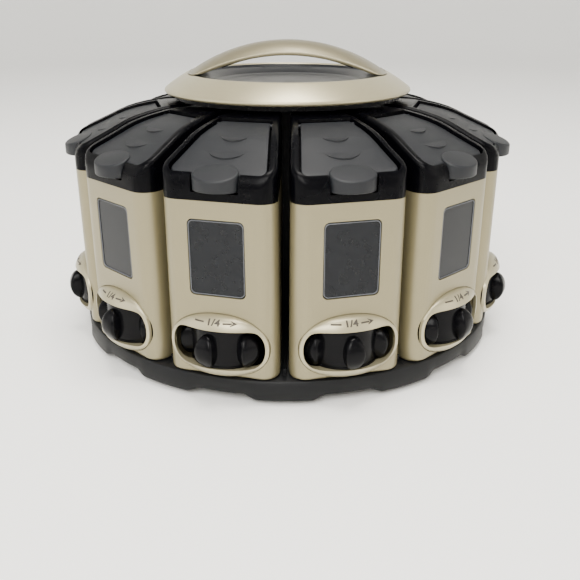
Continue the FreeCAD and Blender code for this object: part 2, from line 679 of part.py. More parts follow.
def build_cap():
    block = wedge("CapBlock", "rear_apothem", "face_apothem", "0", "body_top",
                  f"roof_inner_z + {BEYOND}", "corner_rear", "corner_front")
    roofed = common("CapRoofed", block, roof_slab("CapRoof", "0", f"{ROOF_TALL}"))
    nose = side_slab("CapNose", (
        ("roof_lip", slope_z("roof_lip")), ("nose_mid", "nose_mid_z"),
        ("face_apothem + 0.1", "nose_end_z"), (f"face_apothem + {BEYOND}", "nose_end_z"),
        (f"face_apothem + {BEYOND}", f"nose_end_z + {BEYOND}"), ("roof_lip", f"nose_end_z + {BEYOND}")))
    nosed = cut("CapNosed", roofed, nose)
    room = wedge("CapRoom", "rear_apothem + cap_wall", "face_apothem - cap_wall", "cap_wall",
                 f"body_top - {BEYOND}", f"roof_inner_z + {BEYOND}",
                 "corner_rear / 2", "corner_front - cap_wall")
    under = common("CapUnderside", room, roof_slab("CapCeiling", "ceiling_depth", f"{ROOF_TALL}"))
    recess_plan = wedge("RecessPlan", "flap_rear - flap_gap", "flap_front + flap_gap",
                        "flap_inset - flap_gap", "body_top", f"roof_inner_z + {BEYOND}",
                        "recess_corner_rear", "recess_corner_front")
    recess = common("CapRecess", recess_plan, roof_slab("RecessFloor", f"-{BEYOND}", "recess_depth"))
    mouth = wedge("CapMouth", "mouth_rear", "mouth_front", "mouth_inset", "body_top",
                  f"roof_inner_z + {BEYOND}", "mouth_corner_rear", "mouth_corner_front")
    notch = oval_column("TabNotch", "notch_gap", "tab_bottom - notch_gap")
    pocket = oval_column("TabPocket", "notch_gap + notch_wall", "tab_bottom - notch_gap - notch_wall")
    inside = cut("CapInside", under, pocket)
    sockets = hinge_rod("Socket", "trunnion_radius + pin_clearance", "trunnion_reach + socket_gap",
                        "trunnion_root")
    return cut("CanisterCap", nosed, group("CapCuts", inside, recess, mouth, notch, *sockets))


def oval_column(name, margin, low):
    """An upright column over the thumb tab's oval plan, grown by a margin."""
    oval = doc.addObject("Part::Ellipse", f"{name}Plan")
    oval.Placement = FreeCAD.Placement(V(), FreeCAD.Rotation(V(0, 0, 1), 90))
    bind(oval, Placement__Base__x="tab_centre", Placement__Base__z=low,
         MajorRadius=f"tab_half_width + {margin}", MinorRadius=f"tab_half_length + {margin}")
    return extruded(name, oval, V(0, 0, 1), f"{BEYOND}")


def build_flap():
    plan = wedge("FlapPlan", "flap_rear", "flap_front", "flap_inset", "body_top",
                 f"roof_inner_z + {BEYOND}", "flap_corner_rear", "flap_corner_front")
    leaf = common("FlapLeaf", plan, roof_slab("FlapBand", "flap_drop", "flap_drop + flap_thickness"))
    column = oval_column("TabColumn", "0", "tab_bottom")
    tab = common("ThumbTab", column, roof_slab("TabTop", "flap_drop - tab_raise", f"{ROOF_TALL}"))
    trunnions = hinge_rod("Trunnion", "trunnion_radius", "trunnion_reach", "trunnion_root")
    return fuse("CanisterFlap", leaf, tab, *trunnions)


def build_dial():
    """Measuring dial, modelled about its own axis."""
    drum = solid("Cylinder", "DialDrum", ("0", "0", "dial_bottom"), Radius="dial_drum_radius",
                 Height="dial_top - dial_bottom")
    flange = solid("Cylinder", "DialFlange", ("0", "0", "dial_bottom"),
                   Radius="dial_flange_radius", Height="dial_flange_top - dial_bottom")
    count = int(value("lobe_count"))
    oval = doc.addObject("Part::Ellipse", "LobeOval")
    oval.Placement = FreeCAD.Placement(V(), FreeCAD.Rotation(V(1, 0, 1), 180))
    bind(oval, Placement__Base__x="lobe_root", Placement__Base__z="lobe_centre_z",
         MajorRadius="lobe_half_height", MinorRadius="lobe_half_width")
    boss = extruded("LobeBoss", oval, V(1, 0, 0), f"dial_lobe_radius - lobe_root + {OVERLAP}")
    limit = solid("Ellipsoid", "LobeLimit", ("0", "0", "lobe_centre_z"),
                  Radius1="lobe_crown", Radius2="dial_lobe_radius", Radius3="dial_lobe_radius")
    lobes = round_axis("Lobe", common("RoundedLobe", boss, limit), count, 0)
    pocket = solid("Cylinder", "MeasuringPocket", ("pocket_pitch", "0", "dial_top - pocket_depth"),
                   Radius="pocket_radius", Height=f"pocket_depth + {OVERLAP}")
    blank = fuse("DialBlank", drum, flange, *lobes)
    bore = solid("Cylinder", "DialBore", ("0", "0", f"dial_bottom - {OVERLAP}"),
                 Radius="pin_radius + pin_clearance",
                 Height=f"dial_top - dial_bottom + 2 * {OVERLAP}")
    return cut("MeasuringDial", blank, group("DialCuts", bore, *round_axis("Pocket", pocket, count, 0)))


def place_canisters():
    """Copy the four canister pieces to every place round the axis."""
    masters = {"body": build_body(), "cap": build_cap(), "flap": build_flap(),
               "dial": build_dial()}
    count = int(value("canister_count"))
    for index in range(count):
        turn = value("first_azimuth") + 360 / count * index - 90
        about = FreeCAD.Rotation(V(0, 0, 1), turn)
        for piece, master in masters.items():
            copy = group(f"Canister{index + 1:02d}{piece.capitalize()}", master)
            if piece == "dial":
                spin = FreeCAD.Rotation(V(0, 0, 1), turn + DIAL_PHASES[index])
                copy.Placement = FreeCAD.Placement(about.multVec(V(value("dial_axis"), 0, 0)), spin)
            else:
                copy.Placement = FreeCAD.Placement(V(), about)
            name_node(copy, f"canister_{index + 1:02d}_{piece}")


def check_document():
    """Stop on any failed object or any sub-part whose shape can't be used."""
    for feature in doc.Objects:
        if "Invalid" in feature.State or "Error" in feature.State:
            raise RuntimeError(f"{feature.Name} has failed: {feature.State}")
    for node in nodes:
        if node.Shape.isNull() or not node.Shape.isValid() or not node.Shape.Solids:
            raise RuntimeError(f"{node.Label} has no valid solid")


def export_nodes():
    os.makedirs("parts", exist_ok=True)
    for node in nodes:
        node.Shape.exportStep(f"parts/{node.Label}.step")


fill_sheet()
build_foot()
build_turntable()
build_column()
build_top()
build_handle()
place_canisters()
doc.recompute()
check_document()
export_nodes()
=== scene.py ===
"""Looks of a countertop spice carousel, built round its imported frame.

A canister is modelled once along +X, its front face square to X, and copied to its twelve places.
In that canister frame X is the distance from the turning axis, Y is sideways and Z is up.
"""

import json
import math

import bmesh
import bpy
from bpy.props import FloatProperty, FloatVectorProperty, IntProperty, PointerProperty
from mathutils import Matrix, Vector


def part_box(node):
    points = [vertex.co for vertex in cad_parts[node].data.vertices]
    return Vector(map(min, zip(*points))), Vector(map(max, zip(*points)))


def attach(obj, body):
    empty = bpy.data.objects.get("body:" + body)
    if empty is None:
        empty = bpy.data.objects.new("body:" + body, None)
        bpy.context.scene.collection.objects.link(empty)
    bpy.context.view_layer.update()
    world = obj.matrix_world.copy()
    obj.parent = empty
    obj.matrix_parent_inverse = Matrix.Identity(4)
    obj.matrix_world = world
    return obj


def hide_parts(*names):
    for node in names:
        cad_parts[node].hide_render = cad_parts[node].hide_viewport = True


bl_info = {
    "name": "Spice carousel",
    "version": (1, 0, 0),
    "blender": (4, 5, 0),
    "location": "3D View > Sidebar > Carousel",
    "description": "Builds the canisters, dials, turntable, ring and handle of a spice carousel",
    "category": "Object",
}

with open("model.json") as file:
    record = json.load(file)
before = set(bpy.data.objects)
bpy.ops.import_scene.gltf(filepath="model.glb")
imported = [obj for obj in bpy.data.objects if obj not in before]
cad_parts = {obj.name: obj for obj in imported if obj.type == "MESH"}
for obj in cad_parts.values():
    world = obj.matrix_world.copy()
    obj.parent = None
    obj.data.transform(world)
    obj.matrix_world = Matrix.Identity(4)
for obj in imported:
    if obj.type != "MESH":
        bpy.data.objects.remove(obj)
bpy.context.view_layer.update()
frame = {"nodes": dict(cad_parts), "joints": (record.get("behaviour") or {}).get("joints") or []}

MM = 0.001
ROUND = 2 * math.pi
JOINTS = {joint["name"]: joint for joint in frame["joints"]}
COUNT = sum(name.endswith("_slide") for name in JOINTS)
SECTOR = math.pi / COUNT

# how far each canister's dial has been clicked round, in degrees
DIAL_PHASES = (0, 5, -8, 14, -20, 6, 22, -11, 9, 3, 5, -13)


# ---------------------------------------------------------------- places read from the frame

def canister_turn(number):
    """Angle about Z from the canister frame to a canister's place."""
    out = JOINTS[f"canister_{number:02d}_slide"]["axis"]
    return math.atan2(out[1], out[0])


def distance_of(joint):
    """Distance of a joint's axis from the turning axis."""
    return math.hypot(*JOINTS[joint]["pos_m"][:2])


def reach_of(node):
    """Lowest and highest corner of one of canister 1's nodes in the canister frame."""
    unturned = Matrix.Rotation(-canister_turn(1), 4, "Z")
    places = [unturned @ vertex.co for vertex in frame["nodes"][node].data.vertices]
    low = Vector([min(place[axis] for place in places) for axis in range(3)])
    high = Vector([max(place[axis] for place in places) for axis in range(3)])
    return low, high


CAP_LOW, CAP_HIGH = reach_of("canister_01_cap")
BODY_LOW, BODY_HIGH = reach_of("canister_01_body")
DIAL_LOW, DIAL_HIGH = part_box("canister_01_dial")
RING_LOW, RING_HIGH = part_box("top_ring")
DISH_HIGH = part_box("dish_insert")[1]
HANDLE_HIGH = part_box("carry_handle")[1]
TRAY_LOW, TRAY_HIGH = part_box("turntable_tray")

FACE = CAP_HIGH.x
DIAL_AXIS = distance_of("dial_01_spin")
HINGE = distance_of("flap_01_hinge")
HINGE_Z = JOINTS["flap_01_hinge"]["pos_m"][2]


# ---------------------------------------------------------------- sizes and colours

def length(name, millimetres, description):
    """A property for a length that is given in millimetres."""
    return FloatProperty(name=name, description=description, default=millimetres * MM,
                         unit="LENGTH", precision=5)


def degrees(name, angle, description):
    """A property for an angle that is given in degrees."""
    return FloatProperty(name=name, description=description, default=math.radians(angle),
                         subtype="ANGLE")


def linear(hexadecimal):
    """An sRGB hex colour as linear red, green, blue and alpha."""
    channels = [int(hexadecimal[place:place + 2], 16) / 255 for place in (0, 2, 4)]
    return tuple(channel / 12.92 if channel <= 0.04045 else ((channel + 0.055) / 1.055) ** 2.4
                 for channel in channels) + (1.0,)


def colour(name, hexadecimal, description):
    """A property for a colour that is given as sRGB hex."""
    return FloatVectorProperty(name=name, description=description, subtype="COLOR", size=4,
                               min=0, max=1, default=linear(hexadecimal))


class CanisterSizes(bpy.types.PropertyGroup):
    """Sizes of one canister's shell, window and bezel."""
    side_gap: length("Side gap", 1.8, "Canister wall to the border of its sector")
    wall: length("Wall", 1.4, "Shell wall thickness")
    front_corner: length("Front corner", 7.5, "Radius of the upright front corners")
    rear_corner: length("Rear corner", 2, "Radius of the upright inner corners")
    draft: FloatProperty(name="Draft", description="Share of its width that a shell loses upwards",
                         default=0.022, min=0, max=0.1)
    foot_round: length("Foot rounding", 1.7, "Rounding of the shell's lower edge")
    window_width: length("Window width", 25.2, "Window opening width")
    window_low: length("Window low", 49.3, "Lower edge of the window opening")
    window_high: length("Window high", 82.7, "Upper edge of the window opening")
    window_corner: length("Window corner", 2.4, "Corner radius of the window opening")
    pane_gap: length("Pane gap", 0.5, "Dark joint round the window pane")
    pane_frame: length("Pane frame", 0.42, "Width of the moulded line round the pane")
    pane_setback: length("Pane setback", 0.5, "Pane face behind the shell face")
    bezel_half_width: length("Bezel half width", 22.3, "Half width of the oval bezel")
    bezel_half_height: length("Bezel half height", 14.4, "Half height of the oval bezel")
    bezel_joint: length("Bezel joint", 0.28, "Open joint between the bezel and the shell")
    bezel_centre: length("Bezel centre", 27.2, "Height of the oval bezel's centre")
    bezel_bulge: length("Bezel bulge", 7.2, "How far the bezel's dome stands out")
    opening_half_width: length("Opening half width", 20.8, "Half width of the dial opening")
    opening_half_height: length("Opening half height", 13, "Half height of the opening's oval")
    opening_low: length("Opening low", 18, "Lower edge of the dial opening")
    opening_high: length("Opening high", 36, "Lower edge of the bezel's lid")
    mark_height: length("Mark height", 39.2, "Height of the printed measure")


class CapSizes(bpy.types.PropertyGroup):
    """Sizes of one cap and its flap."""
    rim_round: length("Rim rounding", 2.6, "Rounding of the cap's upper rim")
    nose_start: length("Nose start", 103.5, "Distance where the rim rounds over to the front")
    nose_low: length("Nose low", 97, "Top of the cap's upright front")
    recess_depth: length("Recess depth", 4.6, "Recess floor under the rim")
    ceiling_depth: length("Ceiling depth", 6.3, "Underside of the cap's roof under its rim")
    wall: length("Wall", 2, "Cap wall thickness")
    mouth_rear: length("Mouth rear", 73, "Inner edge of the filling mouth")
    mouth_front: length("Mouth front", 96, "Outer edge of the filling mouth")
    mouth_inset: length("Mouth inset", 5.4, "Mouth edge inside the cap wall")
    flap_rear: length("Flap rear", 66.6, "Inner edge of the flap")
    flap_front: length("Flap front", 104.5, "Outer edge of the flap")
    flap_inset: length("Flap inset", 4.4, "Flap edge inside the cap wall")
    flap_gap: length("Flap gap", 1, "Gap round the flap")
    flap_drop: length("Flap drop", 1.2, "Flap surface under the cap rim")
    flap_thickness: length("Flap thickness", 2, "Flap thickness")
    tab_centre: length("Tab centre", 105.7, "Centre of the oval thumb tab")
    tab_half_width: length("Tab half width", 10, "Half width of the thumb tab")
    tab_half_length: length("Tab half length", 6.8, "Half length of the thumb tab")
    tab_low: length("Tab low", 94.6, "Underside of the thumb tab")
    tab_raise: length("Tab raise", 0.25, "Thumb tab's inner edge over the flap surface")
    tab_slope: FloatProperty(name="Tab slope", description="Fall of the thumb tab outwards",
                             default=0.33, min=0, max=1)
    notch_gap: length("Notch gap", 0.8, "Gap round the thumb tab")
    notch_wall: length("Notch wall", 1.4, "Wall between the notch and the inside")
    step_rise: length("Step rise", 0.75, "Height of the two thumb steps at their front edge")
    trunnion: length("Trunnion", 0.9, "Trunnion radius")
    trunnion_reach: length("Trunnion reach", 14.9, "Half length over the trunnions")


class DialSizes(bpy.types.PropertyGroup):
    """Sizes of the measuring dial."""
    drum_radius: length("Drum radius", 16.3, "Drum radius")
    flange_radius: length("Flange radius", 16.6, "Radius of the flange at the drum's foot")
    flange_top: length("Flange top", 19, "Top of the flange")
    lobe_count: IntProperty(name="Lobes", description="Lobes round the drum", default=6, min=3)
    lobe_reach: length("Lobe reach", 21.5, "Outer radius of the lobes")
    lobe_half_width: length("Lobe half width", 4.3, "Half width of a lobe")
    lobe_half_height: length("Lobe half height", 7.6, "Half height of a lobe")
    lobe_centre: length("Lobe centre", 25.9, "Height of the lobes' middle")


class TopSizes(bpy.types.PropertyGroup):
    """Sizes of the top ring, the dish and the carry handle."""
    ring_bulge: length("Ring bulge", 0.25, "How far the ring's cone is crowned")
    rim_height: length("Rim height", 1.5, "Height of the ring's widest part over its underside")
    ring_top_radius: length("Ring top radius", 50.9, "Upper rim of the ring")
    dish_floor_radius: length("Dish floor radius", 33, "Radius of the dish floor")
    dish_depth: length("Dish depth", 4.4, "Dish floor under its lip")
    arch_radius: length("Arch radius", 87.6, "Radius of the handle's ridge seen from the front")
    grip_half: length("Grip half width", 13, "Half width of the grip at mid span")
    heel_half: length("Heel half width", 23.5, "Half width of the handle at its heels")
    grip_crown: length("Grip crown", 5, "Fall from the ridge to the grip's edge")
    grip_edge: length("Grip edge", 1.9, "Thickness of the grip's rounded lip")


class TraySizes(bpy.types.PropertyGroup):
    """Sizes of the turntable tray."""
    rim_inset: length("Rim inset", 0.8, "Upper edge of the skirt inside its lower edge")
    deck_low: length("Deck low", 8.7, "Underside of the deck")
    deck_high: length("Deck high", 11.7, "Top of the deck")
    skirt_wall: length("Skirt wall", 2.6, "Skirt wall thickness")
    notch_width: length("Notch width", 34, "Width of each finger notch in the skirt")
    notch_height: length("Notch height", 2.1, "Height of each finger notch")
    notch_depth: length("Notch depth", 0.9, "How far each finger notch is set back")
    bore: length("Bore", 9.06, "Radius of the bore on the pivot post")


class Colours(bpy.types.PropertyGroup):
    """Colours of the mouldings."""
    body: colour("Body", "857D60", "Champagne lacquer of the canisters")
    # painted highlight: the bezels are the body's champagne and take this paler lacquer to stand in
    # for the light on their glossy domes
    ring: colour("Ring", "A39B7E", "Champagne lacquer of the ring and the bezels")
    # painted shade: the handle is the ring's champagne lacquer, coloured darker to stand in for the
    # shade on its up-facing top
    handle: colour("Handle", "746D55", "Champagne lacquer of the handle")
    cap: colour("Cap", "030305", "Black of the caps")
    flap: colour("Flap", "121418", "Grey-black of the flaps")
    dial: colour("Dial", "060608", "Black of the dials")
    dish: colour("Dish", "0E0F12", "Charcoal of the dish")
    tray: colour("Tray", "0A0B0D", "Charcoal of the tray and foot")
    # the pane's near-black is partly its smoke tint and partly painted shade for the dark inside of
    # the canister
    pane: colour("Pane", "0F1115", "Smoked window")
    # painted highlight: the frame's light grey stands in for the light caught along the pane's edge
    frame: colour("Window frame", "4A4C50", "Moulded edge of the window pane")
    ink: colour("Ink", "3A332B", "Printed measure")
    floor: colour("Floor", "FFFEFB", "Studio floor and sweep")


class StageSizes(bpy.types.PropertyGroup):
    """Camera, floor and lights."""
    lens: FloatProperty(name="Lens", description="Focal length in millimetres", default=46.04,
                        min=10, max=200)
    distance: length("Distance", 391.6, "Camera's distance from the turning axis")
    height: length("Height", 168.7, "Camera's height")
    azimuth: degrees("Azimuth", 0.793, "Camera's place round the turning axis")
    pitch: degrees("Pitch", 22, "How far the camera looks down")
    yaw: degrees("Yaw", -0.183, "How far the camera looks to the side")
    key_power: FloatProperty(name="Key power", description="Power of the overhead light in watts",
                             default=19, min=0)
    front_power: FloatProperty(name="Front power", description="Power of the front light in watts",
                               default=40, min=0)
    fill_power: FloatProperty(name="Fill power", description="Power of each side light in watts",
                              default=5, min=0)


# ---------------------------------------------------------------- shared mesh work

def half_width(distance, inset):
    """Half of a canister's width at a distance from the axis, less an inset from its wall."""
    gap = bpy.context.scene.canister_sizes.side_gap
    return distance * math.tan(SECTOR) - (gap + inset) / math.cos(SECTOR)


def vertices_in(geometry):
    return [item for item in geometry if isinstance(item, bmesh.types.BMVert)]


def extrude_up(bm, faces, rise):
    """Push faces up into a closed solid and return the vertices of its top."""
    made = bmesh.ops.extrude_face_region(bm, geom=faces)
    top = vertices_in(made["geom"])
    bmesh.ops.translate(bm, verts=top, vec=(0, 0, rise))
    return top


def extrude_out(bm, face, depth):
    """Push a face along X into a closed solid."""
    made = bmesh.ops.extrude_face_region(bm, geom=[face])
    bmesh.ops.translate(bm, verts=vertices_in(made["geom"]), vec=(depth, 0, 0))


def wedge(bm, rear, front, inset, low, high, rear_corner, front_corner):
    """An upright wedge with rounded corners whose sides run parallel to its sector's."""
    places = ((rear, -1), (front, -1), (front, 1), (rear, 1))
    plan = [bm.verts.new((distance, side * half_width(distance, inset), low))
            for distance, side in places]
    bm.faces.new(plan)
    corners = ((plan[1:3], front_corner, -SECTOR), ((plan[0], plan[3]), rear_corner, SECTOR))
    for ends, radius, lean in corners:
        cut_back = radius / math.tan((math.pi / 2 + lean) / 2)
        bmesh.ops.bevel(bm, geom=list(ends), offset=cut_back, offset_type="OFFSET", segments=7,
                        profile=0.5, affect="VERTICES", material=-1)
    bm.faces.ensure_lookup_table()
    extrude_up(bm, [bm.faces[-1]], high - low)


def round_level_edges(bm, height, radius, segments=4):
    """Round the outline that lies at one height."""
    edges = [edge for edge in bm.edges
             if all(abs(vertex.co.z - height) < 0.01 * MM for vertex in edge.verts)]
    bmesh.ops.bevel(bm, geom=edges, offset=radius, offset_type="OFFSET", segments=segments,
                    profile=0.5, affect="EDGES", clamp_overlap=True, material=-1)


def cross_cuts(bm, stations):
    """Cut the mesh across at distances from the axis, so that it can follow a curve."""
    for distance in stations:
        everything = bm.verts[:] + bm.edges[:] + bm.faces[:]
        bmesh.ops.bisect_plane(bm, geom=everything, dist=1e-7, plane_co=(distance, 0, 0),
                               plane_no=(1, 0, 0))


def sink(bm, above, surface):
    """Move every vertex over a height by what surface gives for its distance from the axis."""
    for vertex in bm.verts:
        if vertex.co.z > above:
            vertex.co.z += surface(vertex.co.x)


def arc(start, end, bulge, count=10):
    """Points from start to just before end on an arc that stands a bulge to its left."""
    first, final = Vector(start), Vector(end)
    along = final - first
    left = Vector((-along.y, along.x)).normalized()
    points = []
    for step in range(count):
        share = step / count
        points.append(tuple(first + along * share + left * bulge * 4 * share * (1 - share)))
    return points


def loop_of(bm, places, closed=True):
    """A chain of edges through places, back to the first of them if closed."""
    points = [bm.verts.new(place) for place in places]
    following = points[1:] + points[:1] if closed else points[1:]
    return [bm.edges.new(pair) for pair in zip(points, following)]


def lathe(name, profile, steps, closed=True):
    """Turn a profile of (radius, height) points about the Z axis and return the mesh."""
    bm = bmesh.new()
    loop_of(bm, [(radius, 0, height) for radius, height in profile], closed)
    bmesh.ops.spin(bm, geom=bm.verts[:] + bm.edges[:], cent=(0, 0, 0), axis=(0, 0, 1),
                   angle=ROUND, steps=steps, use_merge=True)
    return mesh_from(bm, name)


def bridge(bm, loops, closed=False):
    """Skin one loop to the next, and the last to the first if closed, else cap both ends."""
    pairs = list(zip(loops[:-1], loops[1:]))
    if closed:
        pairs.append((loops[-1], loops[0]))
    for first, second in pairs:
        bmesh.ops.bridge_loops(bm, edges=first + second)
    if not closed:
        for loop in (loops[0], loops[-1]):
            bmesh.ops.contextual_create(bm, geom=loop)


def mesh_from(bm, name):
    """Merge doubles, point the faces outwards and return the mesh, smooth shaded."""
    bmesh.ops.remove_doubles(bm, verts=bm.verts, dist=0.002 * MM)
    bmesh.ops.recalc_face_normals(bm, faces=bm.faces)
    mesh = bpy.data.meshes.new(name)
    bm.to_mesh(mesh)
    bm.free()
    mesh.shade_smooth()
    return mesh


def combine(base, tools, operation):
    """Cut closed meshes out of a closed mesh, or join them to it, and return the result."""
    worked = bpy.data.objects.new(base.name, base)
    helpers = [bpy.data.objects.new(tool.name, tool) for tool in tools]
    for item in [worked] + helpers:
        bpy.context.scene.collection.objects.link(item)
    for helper in helpers:
        modifier = worked.modifiers.new(helper.name, "BOOLEAN")
        modifier.operation = operation
        modifier.solver = "EXACT"
        modifier.object = helper
    graph = bpy.context.evaluated_depsgraph_get()
    result = bpy.data.meshes.new_from_object(worked.evaluated_get(graph))
    for item in [worked] + helpers:
        bpy.data.objects.remove(item)
    result.shade_smooth()
    return result


def round_edges(piece, width, segments=2, angle=35):
    """Break a piece's sharp edges."""
    modifier = piece.modifiers.new("Broken edges", "BEVEL")
    modifier.width = width
    modifier.segments = segments
    modifier.limit_method = "ANGLE"
    modifier.angle_limit = math.radians(angle)
    modifier.harden_normals = True


def add_piece(name, mesh, material, body, slot, *nodes):
    """Put a finished mesh in the scene, on its body, in place of its CAD nodes."""
    piece = bpy.data.objects.new(name, mesh)
    bpy.context.scene.collection.objects.link(piece)
    mesh.materials.clear()
    mesh.materials.append(material)
    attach(piece, body)
    if nodes:
        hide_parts(*nodes)
    return piece


def place_round(master, piece, material, slot, part="body", body="canister"):
    """Copy a canister piece to every canister and return the copies."""
    copies = []
    for number in range(1, COUNT + 1):
        mesh = master.copy()
        mesh.transform(Matrix.Rotation(canister_turn(number), 4, "Z"))
        copies.append(add_piece(f"canister_{number:02d}_{piece}", mesh, material,
                                f"{body}_{number:02d}", slot, f"canister_{number:02d}_{part}"))
    return copies


# ---------------------------------------------------------------- finishes

def add_node(tree, kind, values=None, links=None, **settings):
    """Add a node with its settings, its inputs' values and its links."""
    node = tree.nodes.new(kind)
    for name, setting in settings.items():
        setattr(node, name, setting)
    for name, amount in (values or {}).items():
        node.inputs[name].default_value = amount
    for name, socket in (links or {}).items():
        tree.links.new(socket, node.inputs[name])
    return node


def per_metre(millimetres):
    """Scale of a texture whose features are so many millimetres apart."""
    return 1000 / millimetres


def finish(name, base, grain, spread, rough, detail=3, cloud=None, relief=0, strength=0, **shine):
    """A material whose colour varies by a spread over a noise of a grain in millimetres.

    Its roughness is one value, or runs between two over the grain or over a wider cloud. Its
    relief follows the grain. What is left goes on the shader's own sockets.
    """
    material = bpy.data.materials.get(name)
    if material:
        return material
    material = bpy.data.materials.new(name)
    material.use_nodes = True
    tree = material.node_tree
    tree.nodes.clear()
    places = {"Vector": add_node(tree, "ShaderNodeTexCoord").outputs["Object"]}
    noise = add_node(tree, "ShaderNodeTexNoise", {"Scale": per_metre(grain), "Detail": detail},
                     places).outputs["Fac"]
    darker = [channel * (1 - spread) for channel in base[:3]] + [1]
    lighter = [min(channel * (1 + spread), 1) for channel in base[:3]] + [1]
    tint = add_node(tree, "ShaderNodeMixRGB", {"Color1": darker, "Color2": lighter}, {"Fac": noise})
    values = {socket.replace("_", " "): amount for socket, amount in shine.items()}
    links = {"Base Color": tint.outputs["Color"]}
    if isinstance(rough, tuple):
        source = noise
        if cloud:
            source = add_node(tree, "ShaderNodeTexNoise", {"Scale": per_metre(cloud), "Detail": 2},
                              places).outputs["Fac"]
        low, high = rough
        uneven = add_node(tree, "ShaderNodeMapRange", {"To Min": low, "To Max": high},
                          {"Value": source})
        links["Roughness"] = uneven.outputs["Result"]
    else:
        values["Roughness"] = rough
    if relief:
        bump = add_node(tree, "ShaderNodeBump", {"Strength": strength, "Distance": relief},
                        {"Height": noise})
        links["Normal"] = bump.outputs["Normal"]
    shader = add_node(tree, "ShaderNodeBsdfPrincipled", values, links)
    add_node(tree, "ShaderNodeOutputMaterial", links={"Surface": shader.outputs["BSDF"]})
    return material


# how far the roughness of a moulding or a lacquer wanders to each side of its middle
UNEVEN = 0.05

# each champagne lacquer's name and roughness
LACQUERS = {"body": ("Champagne lacquer", 0.42),
            "ring": ("Pale champagne lacquer", 0.36),
            # the handle's lacquer is the ring's champagne painted darker, as painted shade
            "handle": ("Satin champagne lacquer", 0.4)}

# each dark plastic's name, roughness, mould grain and its relief in millimetres, and shine
PLASTICS = {"cap": ("Semi-gloss black ABS", 0.28, 0.8, 0.02, 0.06),
            "flap": ("Spark-textured grey ABS", 0.5, 0.45, 0.08, 0.3),
            "dial": ("Polished black ABS", 0.24, 1.5, 0.01, 0.09),
            "dish": ("Semi-gloss charcoal ABS", 0.3, 1.2, 0.02, 0.25),
            "tray": ("Satin charcoal polypropylene", 0.48, 0.6, 0.04, 0.2),
            # the frame's grey is a painted highlight on the pane's edge
            "frame": ("Moulded window edge", 0.3, 1, 0.01, 0.5)}


def champagne_lacquer(part):
    """Metallic lacquer sprayed on moulded ABS: a silky glow from fine flakes under a thin clear
    coat, with a faint orange peel."""
    name, roughness = LACQUERS[part]
    base = getattr(bpy.context.scene.carousel_colours, part)
    # flakes are near 0.05 mm, drawn at 0.35 mm so that they show
    return finish(name, base, 0.35, 0.07, (roughness - UNEVEN, roughness + UNEVEN), cloud=9,
                  relief=0.02 * MM, strength=0.25, Metallic=0.55, Coat_Weight=0.25,
                  Coat_Roughness=0.18)


def moulded_plastic(part):
    """Moulded plastic: an even dark colour, a fine grain from the mould and a soft shine."""
    name, roughness, grain, relief, shine = PLASTICS[part]
    base = getattr(bpy.context.scene.carousel_colours, part)
    return finish(name, base, grain, 0.12, (roughness - UNEVEN, roughness + UNEVEN), cloud=12,
                  relief=relief * MM, strength=0.5, Specular_IOR_Level=shine)


def smoked_pane_with_painted_shade():
    """A smoked window of polystyrene: glossy and dark, with the haze of spice dust behind it; its
    near-black is partly its tint and partly painted shade for the canister's dark inside.
    """
    return finish("Smoked polystyrene", bpy.context.scene.carousel_colours.pane, 4, 0.3,
                  (0.12, 0.2), detail=6, Specular_IOR_Level=0.2)


def printed_ink():
    """Pad-printed ink: a thin matt film that breaks up a little at its edges."""
    return finish("Pad-printed ink", bpy.context.scene.carousel_colours.ink, 0.4, 0.2, 0.6)


def polished_steel():
    """Drawn and polished steel of balls and screws, with faint turning marks."""
    return finish("Polished steel", linear("B9BBBD"), 0.5, 0.05, (0.18, 0.3), Metallic=1)


def foot_rubber():
    """Soft rubber of the non-slip pad: matt, with a dusty bloom."""
    return finish("Rubber", linear("1C1C1E"), 2.5, 0.25, 0.85, relief=0.05 * MM, strength=0.4)


def paper_sweep():
    """Matt paper of a studio sweep: nearly white, with a broad and very faint unevenness."""
    return finish("Matt paper sweep", bpy.context.scene.carousel_colours.floor, 120, 0.01, 0.55)


# ---------------------------------------------------------------- canister shell and window

def rounded_panel(bm, half, low, high, corner, distance):
    """A flat rounded rectangle square to X, as one face."""
    places = ((-half, low), (half, low), (half, high), (-half, high))
    corners = [bm.verts.new((distance, side, height)) for side, height in places]
    bm.faces.new(corners)
    bmesh.ops.bevel(bm, geom=corners, offset=corner, offset_type="OFFSET", segments=6,
                    profile=0.5, affect="VERTICES", material=-1)
    bm.faces.ensure_lookup_table()
    return bm.faces[-1]


# how full the ovals' corners are, where 2 makes an ellipse
BEZEL_FULLNESS = 2.2
OPENING_FULLNESS = 2.3
LOBE_FULLNESS = 2.15


def oval_point(angle, half_wide, half_high, fullness):
    """A point of an oval whose corners are a little fuller than an ellipse's."""
    power = 2 / fullness
    across = math.copysign(abs(math.cos(angle)) ** power, math.cos(angle)) * half_wide
    up = math.copysign(abs(math.sin(angle)) ** power, math.sin(angle)) * half_high
    return across, up


def opening_point(angle, margin):
    """A point of the dial opening's outline, grown by a margin: an oval cut level above and
    below, with its corners rounded."""
    sizes = bpy.context.scene.canister_sizes
    across, up = oval_point(angle, sizes.opening_half_width + margin,
                            sizes.opening_half_height + margin, OPENING_FULLNESS)
    if up > 0:
        limit = sizes.opening_high - sizes.bezel_centre
    else:
        limit = sizes.bezel_centre - sizes.opening_low
    beyond = abs(up) / (limit + margin)
    corner_hardness = 14
    shrink = (1 + beyond ** corner_hardness) ** (-1 / corner_hardness)
    return across * shrink, sizes.bezel_centre + up * shrink


